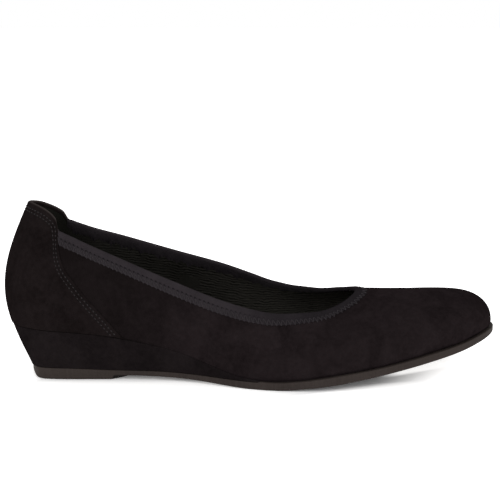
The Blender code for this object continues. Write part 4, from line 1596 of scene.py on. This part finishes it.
def aim(thing, target):
    """Turns a light or camera towards a point."""
    away = thing.location - Vector(target)
    thing.rotation_euler = away.to_track_quat("Z", "Y").to_euler()


def make_light(name, place, size, power):
    """Round soft light aimed at the shoe."""
    lamp = bpy.data.lights.new(name, "AREA")
    lamp.shape = "DISK"
    lamp.size = size
    lamp.energy = power
    light = linked(name, lamp)
    light.location = place
    aim(light, LIGHT_TARGET)


def make_world(strength):
    """Even white surroundings."""
    world = bpy.data.worlds.new("studio")
    world.use_nodes = True
    background = world.node_tree.nodes["Background"]
    background.inputs["Color"].default_value = (1, 1, 1, 1)
    background.inputs["Strength"].default_value = strength
    bpy.context.scene.world = world


def make_camera():
    """Camera at the photo's height and distance, square to the shoe's outer side."""
    lens = bpy.data.cameras.new("camera")
    lens.sensor_width = CAMERA_SENSOR
    lens.lens = CAMERA_LENS
    camera = linked("camera", lens)
    target = to_frame(CAMERA_TARGET)
    away = np.array([0.0, -math.cos(CAMERA_ELEVATION), math.sin(CAMERA_ELEVATION)])
    camera.location = target + CAMERA_DISTANCE * away
    aim(camera, target)
    bpy.context.scene.camera = camera


def main():
    """Makes the materials and the pieces, ties the pieces to their solids, and sets the stage."""
    # The upper's suede takes painted shade towards the heel
    black_suede = suede("black_suede", (0.0060, 0.0044, 0.0047), (0.0136, 0.0101, 0.0108), painted_heel_shade=0.5)
    # The counter's and the wedge's suede are darker copies of the upper's suede: painted shade where they
    # face away from the light
    counter_suede = suede(
        "counter_suede", (0.0044, 0.0032, 0.0032), (0.0100, 0.0075, 0.0076), 62.0, (0.030, 0.0245, 0.0235)
    )
    wedge_suede = suede("wedge_suede", (0.0050, 0.0039, 0.0041), (0.0111, 0.0087, 0.0091), 48.0)
    sole_rubber = rubber("sole_rubber")
    sock_leather = smooth_leather("sock_leather", (0.004, 0.004, 0.0038), (0.009, 0.0088, 0.0084))
    lining_cloth = woven_lining("lining_cloth")
    elastic_tape = elastic("elastic_tape")
    seam_thread = thread("seam_thread", (0.0120, 0.0100, 0.0107), (0.0250, 0.0211, 0.0224))
    # Near-black thread for the beads that paint the shade of the needle holes
    painted_hole_shade = thread("painted_hole_shade", (0.002, 0.002, 0.002), (0.004, 0.004, 0.004))
    tape_thread = thread("tape_thread", (0.0185, 0.0158, 0.0176), (0.0292, 0.0249, 0.0275))
    stitch_row = stitch_row_tree()
    thread_run = thread_run_tree()
    pieces = [
        (make_upper(black_suede, lining_cloth), "upper_suede", ["upper"]),
        (make_lining(lining_cloth), "upper_suede", []),
        (make_heel_counter(counter_suede), "counter_suede", ["heel_counter"]),
        (make_counter_stitches(seam_thread, stitch_row), "counter_suede", []),
        (make_needle_holes(painted_hole_shade, stitch_row), "counter_suede", []),
        (make_collar_tape(elastic_tape), "elastic_tape", ["collar_binding"]),
        (make_zigzag(tape_thread, thread_run), "elastic_tape", []),
        (make_wedge(wedge_suede), "wedge_suede", ["wedge"]),
        (make_insole(sock_leather), "sock_leather", ["insole"]),
        (make_outsole(sole_rubber), "sole_rubber", ["outsole"]),
    ]
    for piece, slot, nodes in pieces:
        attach(piece, "root")
        if nodes:
            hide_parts(*nodes)
    make_floor()
    make_world(1.0)
    make_light("front", (0.3, -1.3, 0.8), 1.2, 7.0)
    make_light("top", (0.1, 0.3, 1.4), 1.0, 2.0)
    make_camera()
    bpy.context.scene.view_settings.view_transform = "Standard"
    bpy.context.scene.view_settings.look = "None"


main()
